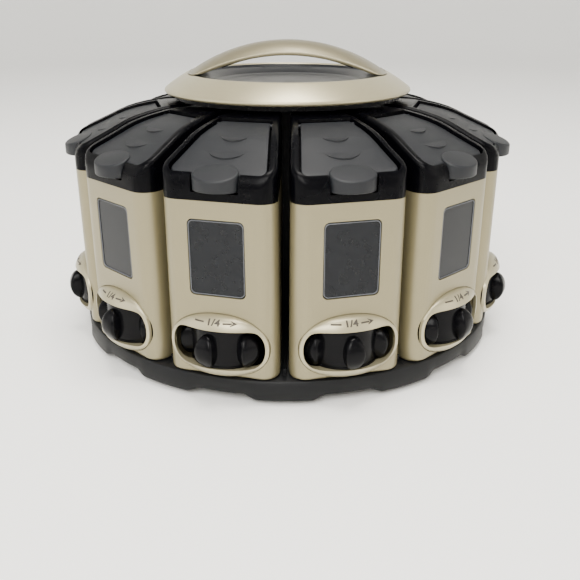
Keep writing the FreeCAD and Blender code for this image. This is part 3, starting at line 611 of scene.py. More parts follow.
def dome(across, height):
    """How far the bezel stands out from the shell's face at a point of it."""
    sizes = bpy.context.scene.canister_sizes
    from_middle = min(abs(across) / (sizes.bezel_half_width * 1.005), 1)
    inside = 1 - from_middle ** BEZEL_FULLNESS
    chord = sizes.bezel_half_height * inside ** (1 / BEZEL_FULLNESS) + 0.01 * MM
    up = min(abs(height - sizes.bezel_centre) / chord, 1)
    return sizes.bezel_bulge * inside ** 1.3 * math.sqrt(1 - up ** 2.6)


OUTLINE_STEPS = 96


def bezel_outline(margin):
    """Points round the bezel's oval, grown by a margin."""
    sizes = bpy.context.scene.canister_sizes
    places = []
    for step in range(OUTLINE_STEPS):
        across, up = oval_point(ROUND * step / OUTLINE_STEPS, sizes.bezel_half_width + margin,
                                sizes.bezel_half_height + margin, BEZEL_FULLNESS)
        places.append((across, sizes.bezel_centre + up))
    return places


def shell_master():
    """The shell: a hollow wedge, open at the top, with its window and dial openings."""
    sizes = bpy.context.scene.canister_sizes
    bm = bmesh.new()
    wedge(bm, BODY_LOW.x, FACE, 0, BODY_LOW.z, BODY_HIGH.z, sizes.rear_corner, sizes.front_corner)
    round_level_edges(bm, BODY_LOW.z, sizes.foot_round)
    block = mesh_from(bm, "Shell")
    bm = bmesh.new()
    wedge(bm, BODY_LOW.x + sizes.wall, FACE - sizes.wall, sizes.wall, BODY_LOW.z + sizes.wall,
          BODY_HIGH.z + sizes.wall, sizes.rear_corner / 2, sizes.front_corner - sizes.wall)
    room = mesh_from(bm, "Room")
    bm = bmesh.new()
    start = FACE - 2 * sizes.wall
    window = rounded_panel(bm, sizes.window_width / 2, sizes.window_low, sizes.window_high,
                           sizes.window_corner, start)
    extrude_out(bm, window, 4 * sizes.wall)
    window = mesh_from(bm, "Window opening")
    bm = bmesh.new()
    outline = [bm.verts.new((start, *place)) for place in bezel_outline(sizes.bezel_joint)]
    extrude_out(bm, bm.faces.new(outline), 4 * sizes.wall)
    shell = combine(block, [room, window, mesh_from(bm, "Dial opening")], "DIFFERENCE")
    for vertex in shell.vertices:
        share = (vertex.co.z - BODY_LOW.z) / (BODY_HIGH.z - BODY_LOW.z)
        vertex.co.y *= 1 - sizes.draft * share
    return shell


def bezel_master():
    """The domed oval frame of the dial: an eyelid above it and a lip below it."""
    sizes = bpy.context.scene.canister_sizes
    outer = bezel_outline(0)
    inner = [opening_point(ROUND * step / OUTLINE_STEPS, 0) for step in range(OUTLINE_STEPS)]
    bm = bmesh.new()
    buried = FACE - 1.2 * MM
    loops = [loop_of(bm, [(buried, *place) for place in outer])]
    rings = 12
    for ring in range(rings + 1):
        share = (ring / rings) ** 1.4
        places = []
        for rim, hole in zip(outer, inner):
            across = rim[0] + (hole[0] - rim[0]) * share
            height = rim[1] + (hole[1] - rim[1]) * share
            places.append((FACE + dome(across, height), across, height))
        loops.append(loop_of(bm, places))
    loops.append(loop_of(bm, [(buried, *place) for place in inner]))
    bridge(bm, loops, closed=True)
    return mesh_from(bm, "Bezel")


def pane_master():
    """The window pane, a thin rounded panel."""
    sizes = bpy.context.scene.canister_sizes
    bm = bmesh.new()
    gap = sizes.pane_gap
    face = rounded_panel(bm, sizes.window_width / 2 - gap, sizes.window_low + gap,
                         sizes.window_high - gap, sizes.window_corner - gap / 2,
                         FACE - sizes.pane_setback - sizes.wall)
    extrude_out(bm, face, sizes.wall)
    return mesh_from(bm, "Pane")


def pane_frame_master():
    """The moulded line round the pane, a thin raised rounded frame, coloured light grey as a
    painted highlight along the pane's edge.
    """
    sizes = bpy.context.scene.canister_sizes
    parts = []
    for name, inset, depth in (("Pane frame", 0, 1 * MM),
                               ("Pane frame inside", sizes.pane_frame, 3 * MM)):
        bm = bmesh.new()
        gap = sizes.pane_gap + inset
        face = rounded_panel(bm, sizes.window_width / 2 - gap, sizes.window_low + gap,
                             sizes.window_high - gap, sizes.window_corner - gap / 2,
                             FACE - sizes.pane_setback - depth / 2)
        extrude_out(bm, face, depth / 2 + (depth - 0.6 * MM))
        parts.append(mesh_from(bm, name))
    return combine(parts[0], parts[1:], "DIFFERENCE")


def window_seat_master():
    """The dark ledge that the pane lies on, a rounded plate a little larger than the pane."""
    sizes = bpy.context.scene.canister_sizes
    bm = bmesh.new()
    ledge = 1.2 * MM
    back = FACE - sizes.pane_setback - sizes.wall - 1.0 * MM
    face = rounded_panel(bm, sizes.window_width / 2 + ledge, sizes.window_low - ledge,
                         sizes.window_high + ledge, sizes.window_corner + ledge, back)
    extrude_out(bm, face, 0.9 * MM)
    return mesh_from(bm, "Window seat")


def cuboid(name, size, middle, turn=0):
    """A box of a size about its middle, turned about the Z axis."""
    bm = bmesh.new()
    bmesh.ops.create_cube(bm, size=1)
    bmesh.ops.scale(bm, verts=bm.verts, vec=size)
    bmesh.ops.translate(bm, verts=bm.verts, vec=middle)
    bmesh.ops.rotate(bm, verts=bm.verts, cent=(0, 0, 0), matrix=Matrix.Rotation(turn, 3, "Z"))
    return mesh_from(bm, name)


def metering_plate_master():
    """The plate over the dial, with a slot that feeds the pocket behind the dial's axis."""
    sizes = bpy.context.scene.canister_sizes
    bm = bmesh.new()
    play = 0.1 * MM
    low = DIAL_HIGH.z + 0.7 * MM
    wedge(bm, BODY_LOW.x + sizes.wall + play, FACE - sizes.wall - 4 * MM, sizes.wall + play,
          low, low + 2 * MM, sizes.rear_corner / 2, sizes.front_corner / 2)
    plate = mesh_from(bm, "Metering plate")
    slot = cuboid("Feed slot", (12 * MM, 9 * MM, 8 * MM), (DIAL_AXIS - 11.5 * MM, 0, low))
    return combine(plate, [slot], "DIFFERENCE")


class CAROUSEL_OT_canisters(bpy.types.Operator):
    """Build the canister shells with their windows, bezels and metering plates"""
    bl_idname = "carousel.canisters"
    bl_label = "Canisters"

    def execute(self, context):
        for piece in place_round(shell_master(), "shell", champagne_lacquer("body"),
                                 "body_champagne"):
            round_edges(piece, 0.3 * MM)
        # painted highlight: the bezels wear the paler ring lacquer in place of the light on their
        # domes, though they are the body's champagne
        for piece in place_round(bezel_master(), "bezel", champagne_lacquer("ring"),
                                 "body_champagne"):
            round_edges(piece, 0.35 * MM, 3, 50)
        # painted shade: the opaque dark pane stands in for the shaded inside seen through the
        # window
        for piece in place_round(pane_master(), "pane", smoked_pane_with_painted_shade(), "window_clear"):
            round_edges(piece, 0.35 * MM)
        # the frame is a painted highlight: light grey in place of the light along the pane's edge
        place_round(pane_frame_master(), "pane_frame", moulded_plastic("frame"), "window_clear")
        place_round(window_seat_master(), "window_seat", moulded_plastic("cap"), "cap_black")
        place_round(metering_plate_master(), "metering_plate", moulded_plastic("tray"),
                    "body_champagne")
        return {"FINISHED"}


# ---------------------------------------------------------------- printed measure

def flat_text(words, size):
    """Lettering as a flat mesh centred on the origin."""
    curve = bpy.data.curves.new("Lettering", "FONT")
    curve.body = words
    curve.size = size
    curve.align_x = "CENTER"
    curve.align_y = "CENTER"
    curve.resolution_u = 3
    curve.offset = 0.09 * MM
    lettering = bpy.data.objects.new("Lettering", curve)
    bpy.context.scene.collection.objects.link(lettering)
    graph = bpy.context.evaluated_depsgraph_get()
    mesh = bpy.data.meshes.new_from_object(lettering.evaluated_get(graph))
    bpy.data.objects.remove(lettering)
    return mesh


def bar(bm, start, end, half_start, half_end):
    """A flat bar or arrow head in X and Y, divided along its length."""
    corners = ((start, -half_start), (end, -half_end), (end, half_end), (start, half_start))
    face = bm.faces.new([bm.verts.new((x, y, 0)) for x, y in corners])
    long_edges = [edge for edge in face.edges
                  if abs(edge.verts[0].co.x - edge.verts[1].co.x) > 0.5 * abs(end - start)]
    bmesh.ops.subdivide_edges(bm, edges=long_edges, cuts=6, use_grid_fill=True)


def mark_master():
    """The printed measure over the dial: a stroke, a quarter and an arrow, lying on the bezel."""
    sizes = bpy.context.scene.canister_sizes
    bm = bmesh.new()
    bm.from_mesh(flat_text("1/4", 3.1 * MM))
    bmesh.ops.scale(bm, verts=bm.verts, vec=(1.55, 1, 1))
    bmesh.ops.translate(bm, verts=bm.verts, vec=(-0.9 * MM, 0, 0))
    bmesh.ops.triangulate(bm, faces=bm.faces)
    for _ in range(2):
        bmesh.ops.subdivide_edges(bm, edges=bm.edges, cuts=1)
    half_stroke = 0.27 * MM
    bar(bm, -9.6 * MM, -5.2 * MM, half_stroke, half_stroke)
    bar(bm, 3.4 * MM, 7.2 * MM, half_stroke, half_stroke)
    bar(bm, 6.6 * MM, 9.4 * MM, 1.0 * MM, 0.02 * MM)
    film = 0.07 * MM
    for vertex in bm.verts:
        across, height = vertex.co.x, sizes.mark_height + vertex.co.y
        vertex.co = (FACE + dome(across, height) + film, across, height)
    made = bmesh.ops.extrude_face_region(bm, geom=bm.faces[:])
    bmesh.ops.translate(bm, verts=vertices_in(made["geom"]), vec=(-2 * film, 0, 0))
    return mesh_from(bm, "Mark")


class CAROUSEL_OT_marks(bpy.types.Operator):
    """Print the measure over every dial"""
    bl_idname = "carousel.marks"
    bl_label = "Printed measures"

    def execute(self, context):
        place_round(mark_master(), "mark", printed_ink(), "marking_ink")
        return {"FINISHED"}


# ---------------------------------------------------------------- cap and flap

# the cap rim seen from the side: distance, height and slope at each place along it
ROOF = ((40, 117.6, 0), (58, 117.6, -0.04), (68, 116.4, -0.19), (82, 112.9, -0.36),
        (92, 108.25, -0.4651), (103.5, 102.9, -0.4651), (120, 95.226, -0.4651))
STATIONS = [distance * MM for distance in
            (50, 55, 58, 60, 62, 64, 66, 68, 70, 72.5, 75, 78, 82, 86, 90, 94, 98, 101)]
NOSE_STATIONS = [distance * MM for distance in (103.5, 104.6, 105.6, 106.4, 107, 107.4, 107.75)]
BEYOND = 20 * MM


def slope_line(distance):
    """Height of the cap's rim, without its nose, at a distance from the axis."""
    for (start, low, slope), (end, high, next_slope) in zip(ROOF[:-1], ROOF[1:]):
        if distance <= end * MM or end == ROOF[-1][0]:
            span = end - start
            share = (distance / MM - start) / span
            cubed, squared = share ** 3, share ** 2
            return MM * (low * (2 * cubed - 3 * squared + 1) + high * (3 * squared - 2 * cubed)
                         + span * slope * (cubed - 2 * squared + share)
                         + span * next_slope * (cubed - squared))


def rim_line(distance):
    """Height of the cap's rim, rounding over to its upright front."""
    sizes = bpy.context.scene.cap_sizes
    straight = slope_line(min(distance, FACE))
    if distance <= sizes.nose_start:
        return straight
    share = min((distance - sizes.nose_start) / (FACE - sizes.nose_start), 1)
    return sizes.nose_low + (straight - sizes.nose_low) * math.sqrt(1 - share ** 2)


def oval_column(name, margin, low, high):
    """A closed upright column over the thumb tab's oval plan, grown by a margin."""
    sizes = bpy.context.scene.cap_sizes
    bm = bmesh.new()
    bmesh.ops.create_circle(bm, cap_ends=True, segments=64, radius=1)
    bmesh.ops.scale(bm, verts=bm.verts, vec=(sizes.tab_half_length + margin,
                                             sizes.tab_half_width + margin, 1))
    bmesh.ops.translate(bm, verts=bm.verts, vec=(sizes.tab_centre, 0, low))
    extrude_up(bm, bm.faces[:], high - low)
    return bm


def hinge_rods(name, radius, reach):
    """One rod along the hinge axis on each side of the flap."""
    bm = bmesh.new()
    root = 9 * MM
    for side in (-1, 1):
        middle = side * (root + reach) / 2
        place = Matrix.Translation((HINGE, middle, HINGE_Z)) @ Matrix.Rotation(math.pi / 2, 4, "X")
        bmesh.ops.create_cone(bm, cap_ends=True, segments=24, radius1=radius, radius2=radius,
                              depth=reach - root, matrix=place)
    return mesh_from(bm, name)


def cap_master():
    """The cap: a hollow wedge with a rounded sloping rim, a recess for the flap, a filling mouth
    and a notch in its nose for the thumb tab."""
    sizes = bpy.context.scene.cap_sizes
    canister = bpy.context.scene.canister_sizes
    flat_top = CAP_HIGH.z + BEYOND
    bm = bmesh.new()
    wedge(bm, CAP_LOW.x, FACE, 0, CAP_LOW.z, flat_top, canister.rear_corner, canister.front_corner)
    round_level_edges(bm, flat_top, sizes.rim_round)
    cross_cuts(bm, STATIONS + NOSE_STATIONS)
    sink(bm, flat_top - 3 * MM, lambda distance: rim_line(distance) - flat_top)
    block = mesh_from(bm, "Cap")

    bm = bmesh.new()
    wedge(bm, CAP_LOW.x + sizes.wall, FACE - sizes.wall, sizes.wall, CAP_LOW.z - BEYOND, flat_top,
          canister.rear_corner / 2, canister.front_corner - sizes.wall)
    cross_cuts(bm, STATIONS)
    sink(bm, flat_top - 3 * MM,
         lambda distance: slope_line(distance) - sizes.ceiling_depth - flat_top)
    room = mesh_from(bm, "Room")
    low = sizes.tab_low - sizes.notch_gap
    pocket = mesh_from(oval_column("Pocket", sizes.notch_gap + sizes.notch_wall,
                                   low - sizes.notch_wall, flat_top), "Pocket")
    room = combine(room, [pocket], "DIFFERENCE")

    bm = bmesh.new()
    floor = CAP_LOW.z
    wedge(bm, sizes.flap_rear - sizes.flap_gap, sizes.flap_front + sizes.flap_gap,
          sizes.flap_inset - sizes.flap_gap, floor, flat_top, 1 * MM, 3.6 * MM)
    cross_cuts(bm, STATIONS)
    for vertex in bm.verts:
        if vertex.co.z < floor + 1 * MM:
            vertex.co.z = slope_line(vertex.co.x) - sizes.recess_depth
    recess = mesh_from(bm, "Recess")

    bm = bmesh.new()
    wedge(bm, sizes.mouth_rear, sizes.mouth_front, sizes.mouth_inset, CAP_LOW.z - 1 * MM, flat_top,
          2 * MM, 3 * MM)
    mouth = mesh_from(bm, "Mouth")
    notch = mesh_from(oval_column("Notch", sizes.notch_gap, low, flat_top), "Notch")
    sockets = hinge_rods("Sockets", sizes.trunnion + 0.06 * MM, sizes.trunnion_reach + 0.2 * MM)
    cap = combine(block, [room, recess, mouth, notch, sockets], "DIFFERENCE")
    cap.transform(Matrix.Scale(1 - canister.draft, 4, (0, 1, 0)))
    return cap


def thumb_step(name, front, radius, reach):
    """A raised segment of a disc on the flap, tallest at its round front edge and level with the
    leaf a reach behind it."""
    sizes = bpy.context.scene.cap_sizes
    bm = bmesh.new()
    bmesh.ops.create_circle(bm, cap_ends=True, segments=96, radius=radius)
    bmesh.ops.translate(bm, verts=bm.verts, vec=(front - radius, 0, 0))
    everything = bm.verts[:] + bm.edges[:] + bm.faces[:]
    bmesh.ops.bisect_plane(bm, geom=everything, dist=1e-7, plane_co=(front - reach, 0, 0),
                           plane_no=(1, 0, 0), clear_inner=True)
    cross_cuts(bm, [front - reach * share / 4 for share in range(1, 4)])
    top = set(extrude_up(bm, bm.faces[:], 1 * MM))
    for vertex in bm.verts:
        surface = slope_line(vertex.co.x) - sizes.flap_drop
        share = 1 - (front - vertex.co.x) / reach
        if vertex in top:
            vertex.co.z = surface + sizes.step_rise * share - 0.02 * MM
        else:
            vertex.co.z = surface - 1.2 * MM
    return mesh_from(bm, name)


def flap_master():
    """The flap: a thin leaf that follows the roof, an oval thumb tab, two thumb steps and the
    trunnions it turns on."""
    sizes = bpy.context.scene.cap_sizes
    bm = bmesh.new()
    wedge(bm, sizes.flap_rear, sizes.flap_front, sizes.flap_inset, 0, sizes.flap_thickness,
          0.6 * MM, 3 * MM)
    round_level_edges(bm, sizes.flap_thickness, 0.5 * MM, 3)
    cross_cuts(bm, STATIONS)
    sink(bm, -1, lambda distance: slope_line(distance) - sizes.flap_drop - sizes.flap_thickness)
    leaf = mesh_from(bm, "Flap")

    flat_top = CAP_HIGH.z + BEYOND
    bm = oval_column("Tab", 0, sizes.tab_low, flat_top)
    round_level_edges(bm, flat_top, 0.8 * MM)
    round_level_edges(bm, sizes.tab_low, 0.5 * MM, 3)
    back = sizes.tab_centre - sizes.tab_half_length
    rise = slope_line(back) - sizes.flap_drop + sizes.tab_raise - flat_top
    sink(bm, flat_top - 3 * MM, lambda distance: rise - sizes.tab_slope * (distance - back))
    tab = mesh_from(bm, "Tab")
    near = thumb_step("Near step", 96.5 * MM, 9.6 * MM, 4.6 * MM)
    far = thumb_step("Far step", 85.7 * MM, 7 * MM, 3.6 * MM)
    rods = hinge_rods("Trunnions", sizes.trunnion, sizes.trunnion_reach)
    flap = combine(leaf, [tab, near, far, rods], "UNION")
    flap.transform(Matrix.Scale(1 - bpy.context.scene.canister_sizes.draft, 4, (0, 1, 0)))
    return flap


class CAROUSEL_OT_caps(bpy.types.Operator):
    """Build the caps and their flaps"""
    bl_idname = "carousel.caps"
    bl_label = "Caps and flaps"

    def execute(self, context):
        for piece in place_round(cap_master(), "cap_moulding", moulded_plastic("cap"),
                                 "cap_black", "cap"):
            round_edges(piece, 0.45 * MM, 3)
        for piece in place_round(flap_master(), "flap_leaf", moulded_plastic("flap"),
                                 "flap_grey_black", "flap", "flap"):
            round_edges(piece, 0.28 * MM, 2, 40)
        return {"FINISHED"}


# ---------------------------------------------------------------- measuring dial

# a lobe from its root to its face: share of its reach over the drum, and the oval's size there
LOBE_SHAPE = ((-0.6, 1.0), (0.66, 1.0), (0.79, 0.975), (0.875, 0.92), (0.92, 0.82), (0.96, 0.6),
              (0.985, 0.3))
# radius that a lobe's face is bent to, seen from the side
LOBE_BEND = 14.5 * MM


def lobe(bm, turn):
    """One oval boss of the dial, with a softly domed face."""
    sizes = bpy.context.scene.dial_sizes
    loops = []
    for reach, size in LOBE_SHAPE:
        out = sizes.drum_radius + (sizes.lobe_reach - sizes.drum_radius) * reach
        places = []
        for step in range(40):
            across, up = oval_point(ROUND * step / 40, sizes.lobe_half_width * size,
                                    sizes.lobe_half_height * size, LOBE_FULLNESS)
            bend = math.sqrt(max(1 - (up / LOBE_BEND) ** 2, 0))
            place = Vector((out * bend, across, sizes.lobe_centre + up))
            places.append(Matrix.Rotation(turn, 3, "Z") @ place)
        loops.append(loop_of(bm, places))
    bridge(bm, loops)


def dial_master():
    """The measuring dial about its own axis: drum, flange and lobes."""
    sizes = bpy.context.scene.dial_sizes
    bore = 2.56 * MM
    drum = lathe("Drum", ((bore, DIAL_LOW.z), (sizes.flange_radius, DIAL_LOW.z),
                          (sizes.flange_radius, sizes.flange_top),
                          (sizes.drum_radius, sizes.flange_top),
                          (sizes.drum_radius, DIAL_HIGH.z), (bore, DIAL_HIGH.z)), 96)
    lobes = []
    for number in range(sizes.lobe_count):
        bm = bmesh.new()
        lobe(bm, ROUND * number / sizes.lobe_count)
        lobes.append(mesh_from(bm, f"Lobe {number + 1}"))
    return combine(drum, lobes, "UNION")


class CAROUSEL_OT_dials(bpy.types.Operator):
    """Build the measuring dials, each clicked round by its own amount"""
    bl_idname = "carousel.dials"
    bl_label = "Measuring dials"

    def execute(self, context):
        master = dial_master()
        for number in range(1, COUNT + 1):
            spin = canister_turn(number) + math.radians(DIAL_PHASES[number - 1])
            x, y, _ = JOINTS[f"dial_{number:02d}_spin"]["pos_m"]
            mesh = master.copy()
            mesh.transform(Matrix.Translation((x, y, 0)) @ Matrix.Rotation(spin, 4, "Z"))
            piece = add_piece(f"canister_{number:02d}_measuring_dial", mesh,
                              moulded_plastic("dial"), f"dial_{number:02d}", "dial_black",
                              f"canister_{number:02d}_dial")
            round_edges(piece, 0.35 * MM, 3)
        return {"FINISHED"}


# ---------------------------------------------------------------- ring, dish and handle

def ring_profile():
    """The ring's section: a low upright rim, a crowned cone and a lip round the dish."""
    sizes = bpy.context.scene.top_sizes
    low, top, widest = RING_LOW.z, RING_HIGH.z, RING_HIGH.x
    rim = low + sizes.rim_height
    mouth = sizes.ring_top_radius
    lip = mouth - 1.3 * MM
    inside = lip - 0.4 * MM
    shoulder = (mouth + 0.5 * MM, top - 0.25 * MM)
    cone = arc((widest - 0.6 * MM, rim + 0.8 * MM), shoulder, -sizes.ring_bulge, 14)
    return [(widest - 8 * MM, low), (widest - 1.6 * MM, low),
            (widest - 0.5 * MM, low + 0.45 * MM), (widest, rim - 0.35 * MM),
            (widest - 0.15 * MM, rim + 0.25 * MM), *cone, shoulder, (mouth, top), (lip, top),
            (inside, top - 0.4 * MM), (inside, top - 3 * MM), (widest - 8 * MM, rim)]


def dish_profile():
    """The dish's section: its underside outwards, over the lip, and the bowl back inwards."""
    sizes = bpy.context.scene.top_sizes
    edge, lip, foot = DISH_HIGH.x, DISH_HIGH.z, sizes.dish_floor_radius
    middle = 0.01 * MM
    floor = lip - sizes.dish_depth
    under = floor - 1.8 * MM
    sunk = floor - 1.1 * MM
    outside = arc((foot, under), (edge, lip - 0.6 * MM), 0.9 * MM, 8)
    bowl = arc((edge - 1.9 * MM, lip - 0.5 * MM), (foot + 1 * MM, floor + 0.5 * MM), 0.9 * MM)
    hollow = arc((foot - 0.2 * MM, floor), (middle, sunk), -0.6 * MM, 12)
    return [(middle, under), *outside, (edge, lip - 0.6 * MM), (edge - 0.3 * MM, lip),
            (edge - 1.4 * MM, lip), *bowl, (foot + 0.6 * MM, floor + 0.35 * MM), *hollow,
            (middle, sunk)]


class CAROUSEL_OT_top(bpy.types.Operator):
    """Build the top ring and the dish inside it"""
    bl_idname = "carousel.top"
    bl_label = "Top ring and dish"

    def execute(self, context):
        add_piece("ring_cover", lathe("Ring", ring_profile(), 256), champagne_lacquer("ring"),
                  "turntable", "ring_champagne", "top_ring")
        add_piece("dish_bowl", lathe("Dish", dish_profile(), 192), moulded_plastic("dish"),
                  "turntable", "dish_black", "dish_insert")
        return {"FINISHED"}


def ridge_height(distance):
    """Height of the handle's ridge at a distance from mid span."""
    radius = bpy.context.scene.top_sizes.arch_radius
    return HANDLE_HIGH.z - radius + math.sqrt(radius ** 2 - distance ** 2)


def handle_section(station):
    """Closed section of the handle at a station: a crowned top, rounded lips and a hollow
    underside, all of it over the seam between the heels and the ring."""
    sizes = bpy.context.scene.top_sizes
    flare = min(abs(station) / HANDLE_HIGH.x, 1) ** 3.4
    half = sizes.grip_half + (sizes.heel_half - sizes.grip_half) * flare
    half = min(half, math.sqrt(sizes.ring_top_radius ** 2 - station ** 2) - 0.15 * MM)
    crown = sizes.grip_crown * (1 - 0.6 * flare)
    lip = sizes.grip_edge * (1 - 0.35 * flare)
    seat = RING_HIGH.z + 0.35 * MM
    ridge = max(ridge_height(station), seat + 0.6 * MM)
    edge = ridge - crown
    swell = lip * 0.5
    top = [(half * share / 8, max(ridge - crown * abs(share / 8) ** 2.2, seat + 0.2 * MM))
           for share in range(-8, 9)]
    rounded = []
    for step in range(1, 6):
        turn = math.radians(30 * step)
        height = edge - swell * (1 - math.cos(turn))
        rounded.append((half + swell * 0.35 * math.sin(turn),
                        max(height, seat + (0.2 - 0.03 * step) * MM)))
    hollow = []
    for step in range(7):
        share = 0.94 - 1.88 * step / 6
        depth = (crown - 0.6 * MM) * 0.8 * (1 - share ** 2) * (1 - 0.75 * flare)
        hollow.append((half * share, max(edge - lip + depth, seat)))
    far_lip = [(-across, height) for across, height in reversed(rounded)]
    return [(station, across, height) for across, height in top + rounded + hollow + far_lip]


class CAROUSEL_OT_handle(bpy.types.Operator):
    """Build the arched carry handle"""
    bl_idname = "carousel.handle"
    bl_label = "Carry handle"

    def execute(self, context):
        bm = bmesh.new()
        span = HANDLE_HIGH.x
        count = 56
        # stations crowd towards the heels, where the handle flares
        shares = [math.sin(math.pi / 2 * (2 * step / count - 1)) for step in range(count + 1)]
        loops = [loop_of(bm, handle_section(span * share)) for share in shares]
        bridge(bm, loops)
        # the handle takes the darker lacquer: painted shade on the ring's champagne
        piece = add_piece("handle_arch", mesh_from(bm, "Handle"), champagne_lacquer("handle"),
                          "turntable", "ring_champagne", "carry_handle")
        round_edges(piece, 0.4 * MM, 3, 60)
        return {"FINISHED"}


# ---------------------------------------------------------------- turntable tray

def notch_share(angle):
    """How far into a finger notch an angle round the skirt is, from 0 to 1."""
    sizes = bpy.context.scene.tray_sizes
    off = (angle - canister_turn(1) + SECTOR) % (2 * SECTOR) - SECTOR
    inside = sizes.notch_width / 2 - abs(off) * TRAY_HIGH.x
    slope = 7 * MM
    share = min(max(inside / slope, 0), 1)
    return share * share * (3 - 2 * share)


class CAROUSEL_OT_tray(bpy.types.Operator):
    """Build the turntable tray with its notched skirt and guide ribs"""
    bl_idname = "carousel.tray"
    bl_label = "Turntable tray"

    def execute(self, context):
        sizes = context.scene.tray_sizes
        radius = TRAY_HIGH.x
        low = TRAY_LOW.z
        rim = radius - sizes.rim_inset
        wall = sizes.skirt_wall
        tray = lathe("Tray", ((sizes.bore, sizes.deck_low), (rim - wall, sizes.deck_low),
                              (radius - wall, low + 0.5 * MM), (radius - wall + 0.5 * MM, low),
                              (radius - 0.5 * MM, low), (radius, low + 0.6 * MM),
                              (radius - 0.3 * MM, (low + sizes.deck_high) / 2),
                              (rim, sizes.deck_high - 0.5 * MM),
                              (rim - 0.5 * MM, sizes.deck_high),
                              (sizes.bore, sizes.deck_high)), 720)
        for vertex in tray.vertices:
            out = Vector((vertex.co.x, vertex.co.y))
            if out.length > rim - wall - 0.01 * MM and vertex.co.z < sizes.deck_high - 0.7 * MM:
                share = notch_share(math.atan2(out.y, out.x))
                if vertex.co.z < low + 1 * MM:
                    vertex.co.z += sizes.notch_height * share
                    vertex.co.xy = out * (1 - sizes.notch_depth * share / out.length)
                elif out.length > rim:
                    vertex.co.xy = out * (1 - 0.6 * sizes.notch_depth * share / out.length)
        long, thick, high = 59 * MM, 1.5 * MM, 4 * MM
        middle = (73.5 * MM, 0, TRAY_HIGH.z - high / 2)
        ribs = [cuboid(f"Rib {number + 1}", (long, thick, high), middle,
                       canister_turn(1) + SECTOR * (2 * number + 1)) for number in range(COUNT)]
        piece = add_piece("turntable_deck", combine(tray, ribs, "UNION"),
                          moulded_plastic("tray"), "turntable", "base_black", "turntable_tray")
        round_edges(piece, 0.25 * MM, 2, 50)
        return {"FINISHED"}


# ---------------------------------------------------------------- pieces kept from the frame

class CAROUSEL_OT_kept(bpy.types.Operator):
    """Give the frame's own pieces their finishes"""
    bl_idname = "carousel.kept"
    bl_label = "Foot, bearing and column"

    def execute(self, context):
        satin, steel = moulded_plastic("tray"), polished_steel()
        finishes = {"foot_pad": foot_rubber(), "foot_base": satin, "pivot_cap": satin,
                    "bearing_balls": steel, "column_screws": steel, "centre_column": satin,
                    "column_crown": moulded_plastic("cap"), "handle_liner": satin}
        for node, material in finishes.items():
            for slot in frame["nodes"][node].material_slots:
                slot.material = material
        return {"FINISHED"}


# ---------------------------------------------------------------- stage

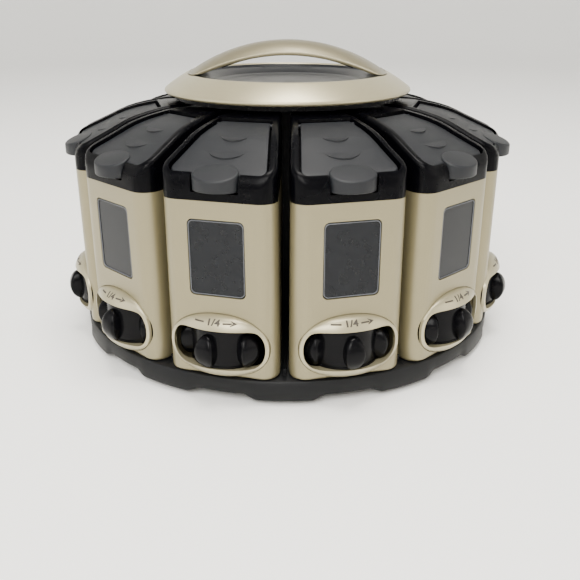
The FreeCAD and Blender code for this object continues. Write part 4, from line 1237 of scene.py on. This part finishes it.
class CAROUSEL_OT_stage(bpy.types.Operator):
    """Lay the floor and its sweep, hang the lights and set the camera"""
    bl_idname = "carousel.stage"
    bl_label = "Stage"

    def execute(self, context):
        scene = context.scene
        sizes = scene.stage_sizes
        # the floor's flat radius, its sweep up and the wall's height, in metres
        flat, sweep, wall = 1.6, 0.9, 3.0
        profile = [(0, 0), (flat, 0)]
        for step in range(1, 13):
            turn = math.pi / 2 * step / 12
            profile.append((flat + sweep * math.sin(turn), sweep * (1 - math.cos(turn))))
        profile.append((flat + sweep, wall))
        floor = bpy.data.objects.new("floor", lathe("Floor", profile, 96, closed=False))
        scene.collection.objects.link(floor)
        floor.data.materials.append(paper_sweep())

        world = bpy.data.worlds.new("Studio")
        world.use_nodes = True
        sky = world.node_tree.nodes["Background"]
        sky.inputs["Color"].default_value = linear("F4F5F8")
        sky.inputs["Strength"].default_value = 0.55
        scene.world = world
        lights = (("key", (0.05, -0.05, 1.2), 0.5, sizes.key_power, "FFFBF4"),
                  ("front", (-0.25, -1.3, 1.25), 1.0, sizes.front_power, "FFFDF9"),
                  ("left", (-1.2, -0.5, 0.6), 0.9, sizes.fill_power, "FFFFFF"),
                  ("right", (1.2, -0.5, 0.6), 0.9, sizes.fill_power, "FFF9F0"))
        aim = Vector((0, 0, 0.08))
        for name, place, size, power, tint in lights:
            lamp = bpy.data.lights.new(name, "AREA")
            lamp.size = size
            lamp.energy = power
            lamp.color = linear(tint)[:3]
            light = bpy.data.objects.new(name, lamp)
            light.location = place
            light.rotation_euler = (aim - Vector(place)).to_track_quat("-Z", "Y").to_euler()
            scene.collection.objects.link(light)

        lens = bpy.data.cameras.new("Camera")
        lens.lens = sizes.lens
        lens.sensor_width = 36
        camera = bpy.data.objects.new("Camera", lens)
        camera.location = (sizes.distance * math.sin(sizes.azimuth),
                           -sizes.distance * math.cos(sizes.azimuth), sizes.height)
        camera.rotation_euler = (math.pi / 2 - sizes.pitch, 0, sizes.azimuth + sizes.yaw)
        scene.collection.objects.link(camera)
        scene.camera = camera
        return {"FINISHED"}


# ---------------------------------------------------------------- panel and registration

PIECES = (CAROUSEL_OT_canisters, CAROUSEL_OT_marks, CAROUSEL_OT_caps, CAROUSEL_OT_dials,
          CAROUSEL_OT_top, CAROUSEL_OT_handle, CAROUSEL_OT_tray, CAROUSEL_OT_kept,
          CAROUSEL_OT_stage)
GROUPS = {"canister_sizes": CanisterSizes, "cap_sizes": CapSizes, "dial_sizes": DialSizes,
          "top_sizes": TopSizes, "tray_sizes": TraySizes, "carousel_colours": Colours,
          "stage_sizes": StageSizes}


class CAROUSEL_PT_panel(bpy.types.Panel):
    """The carousel's pieces, sizes and colours"""
    bl_idname = "CAROUSEL_PT_panel"
    bl_label = "Spice carousel"
    bl_space_type = "VIEW_3D"
    bl_region_type = "UI"
    bl_category = "Carousel"

    def draw(self, context):
        for piece in PIECES:
            self.layout.operator(piece.bl_idname)
        for name, group in GROUPS.items():
            box = self.layout.box()
            for size in group.__annotations__:
                box.prop(getattr(context.scene, name), size)


def register():
    for name, group in GROUPS.items():
        bpy.utils.register_class(group)
        setattr(bpy.types.Scene, name, PointerProperty(type=group))
    for item in PIECES + (CAROUSEL_PT_panel,):
        bpy.utils.register_class(item)


def unregister():
    for item in (CAROUSEL_PT_panel,) + PIECES:
        bpy.utils.unregister_class(item)
    for name, group in GROUPS.items():
        delattr(bpy.types.Scene, name)
        bpy.utils.unregister_class(group)


def main():
    register()
    for piece in PIECES:
        group, operator = piece.bl_idname.split(".")
        getattr(getattr(bpy.ops, group), operator)()


if __name__ == "__main__":
    main()
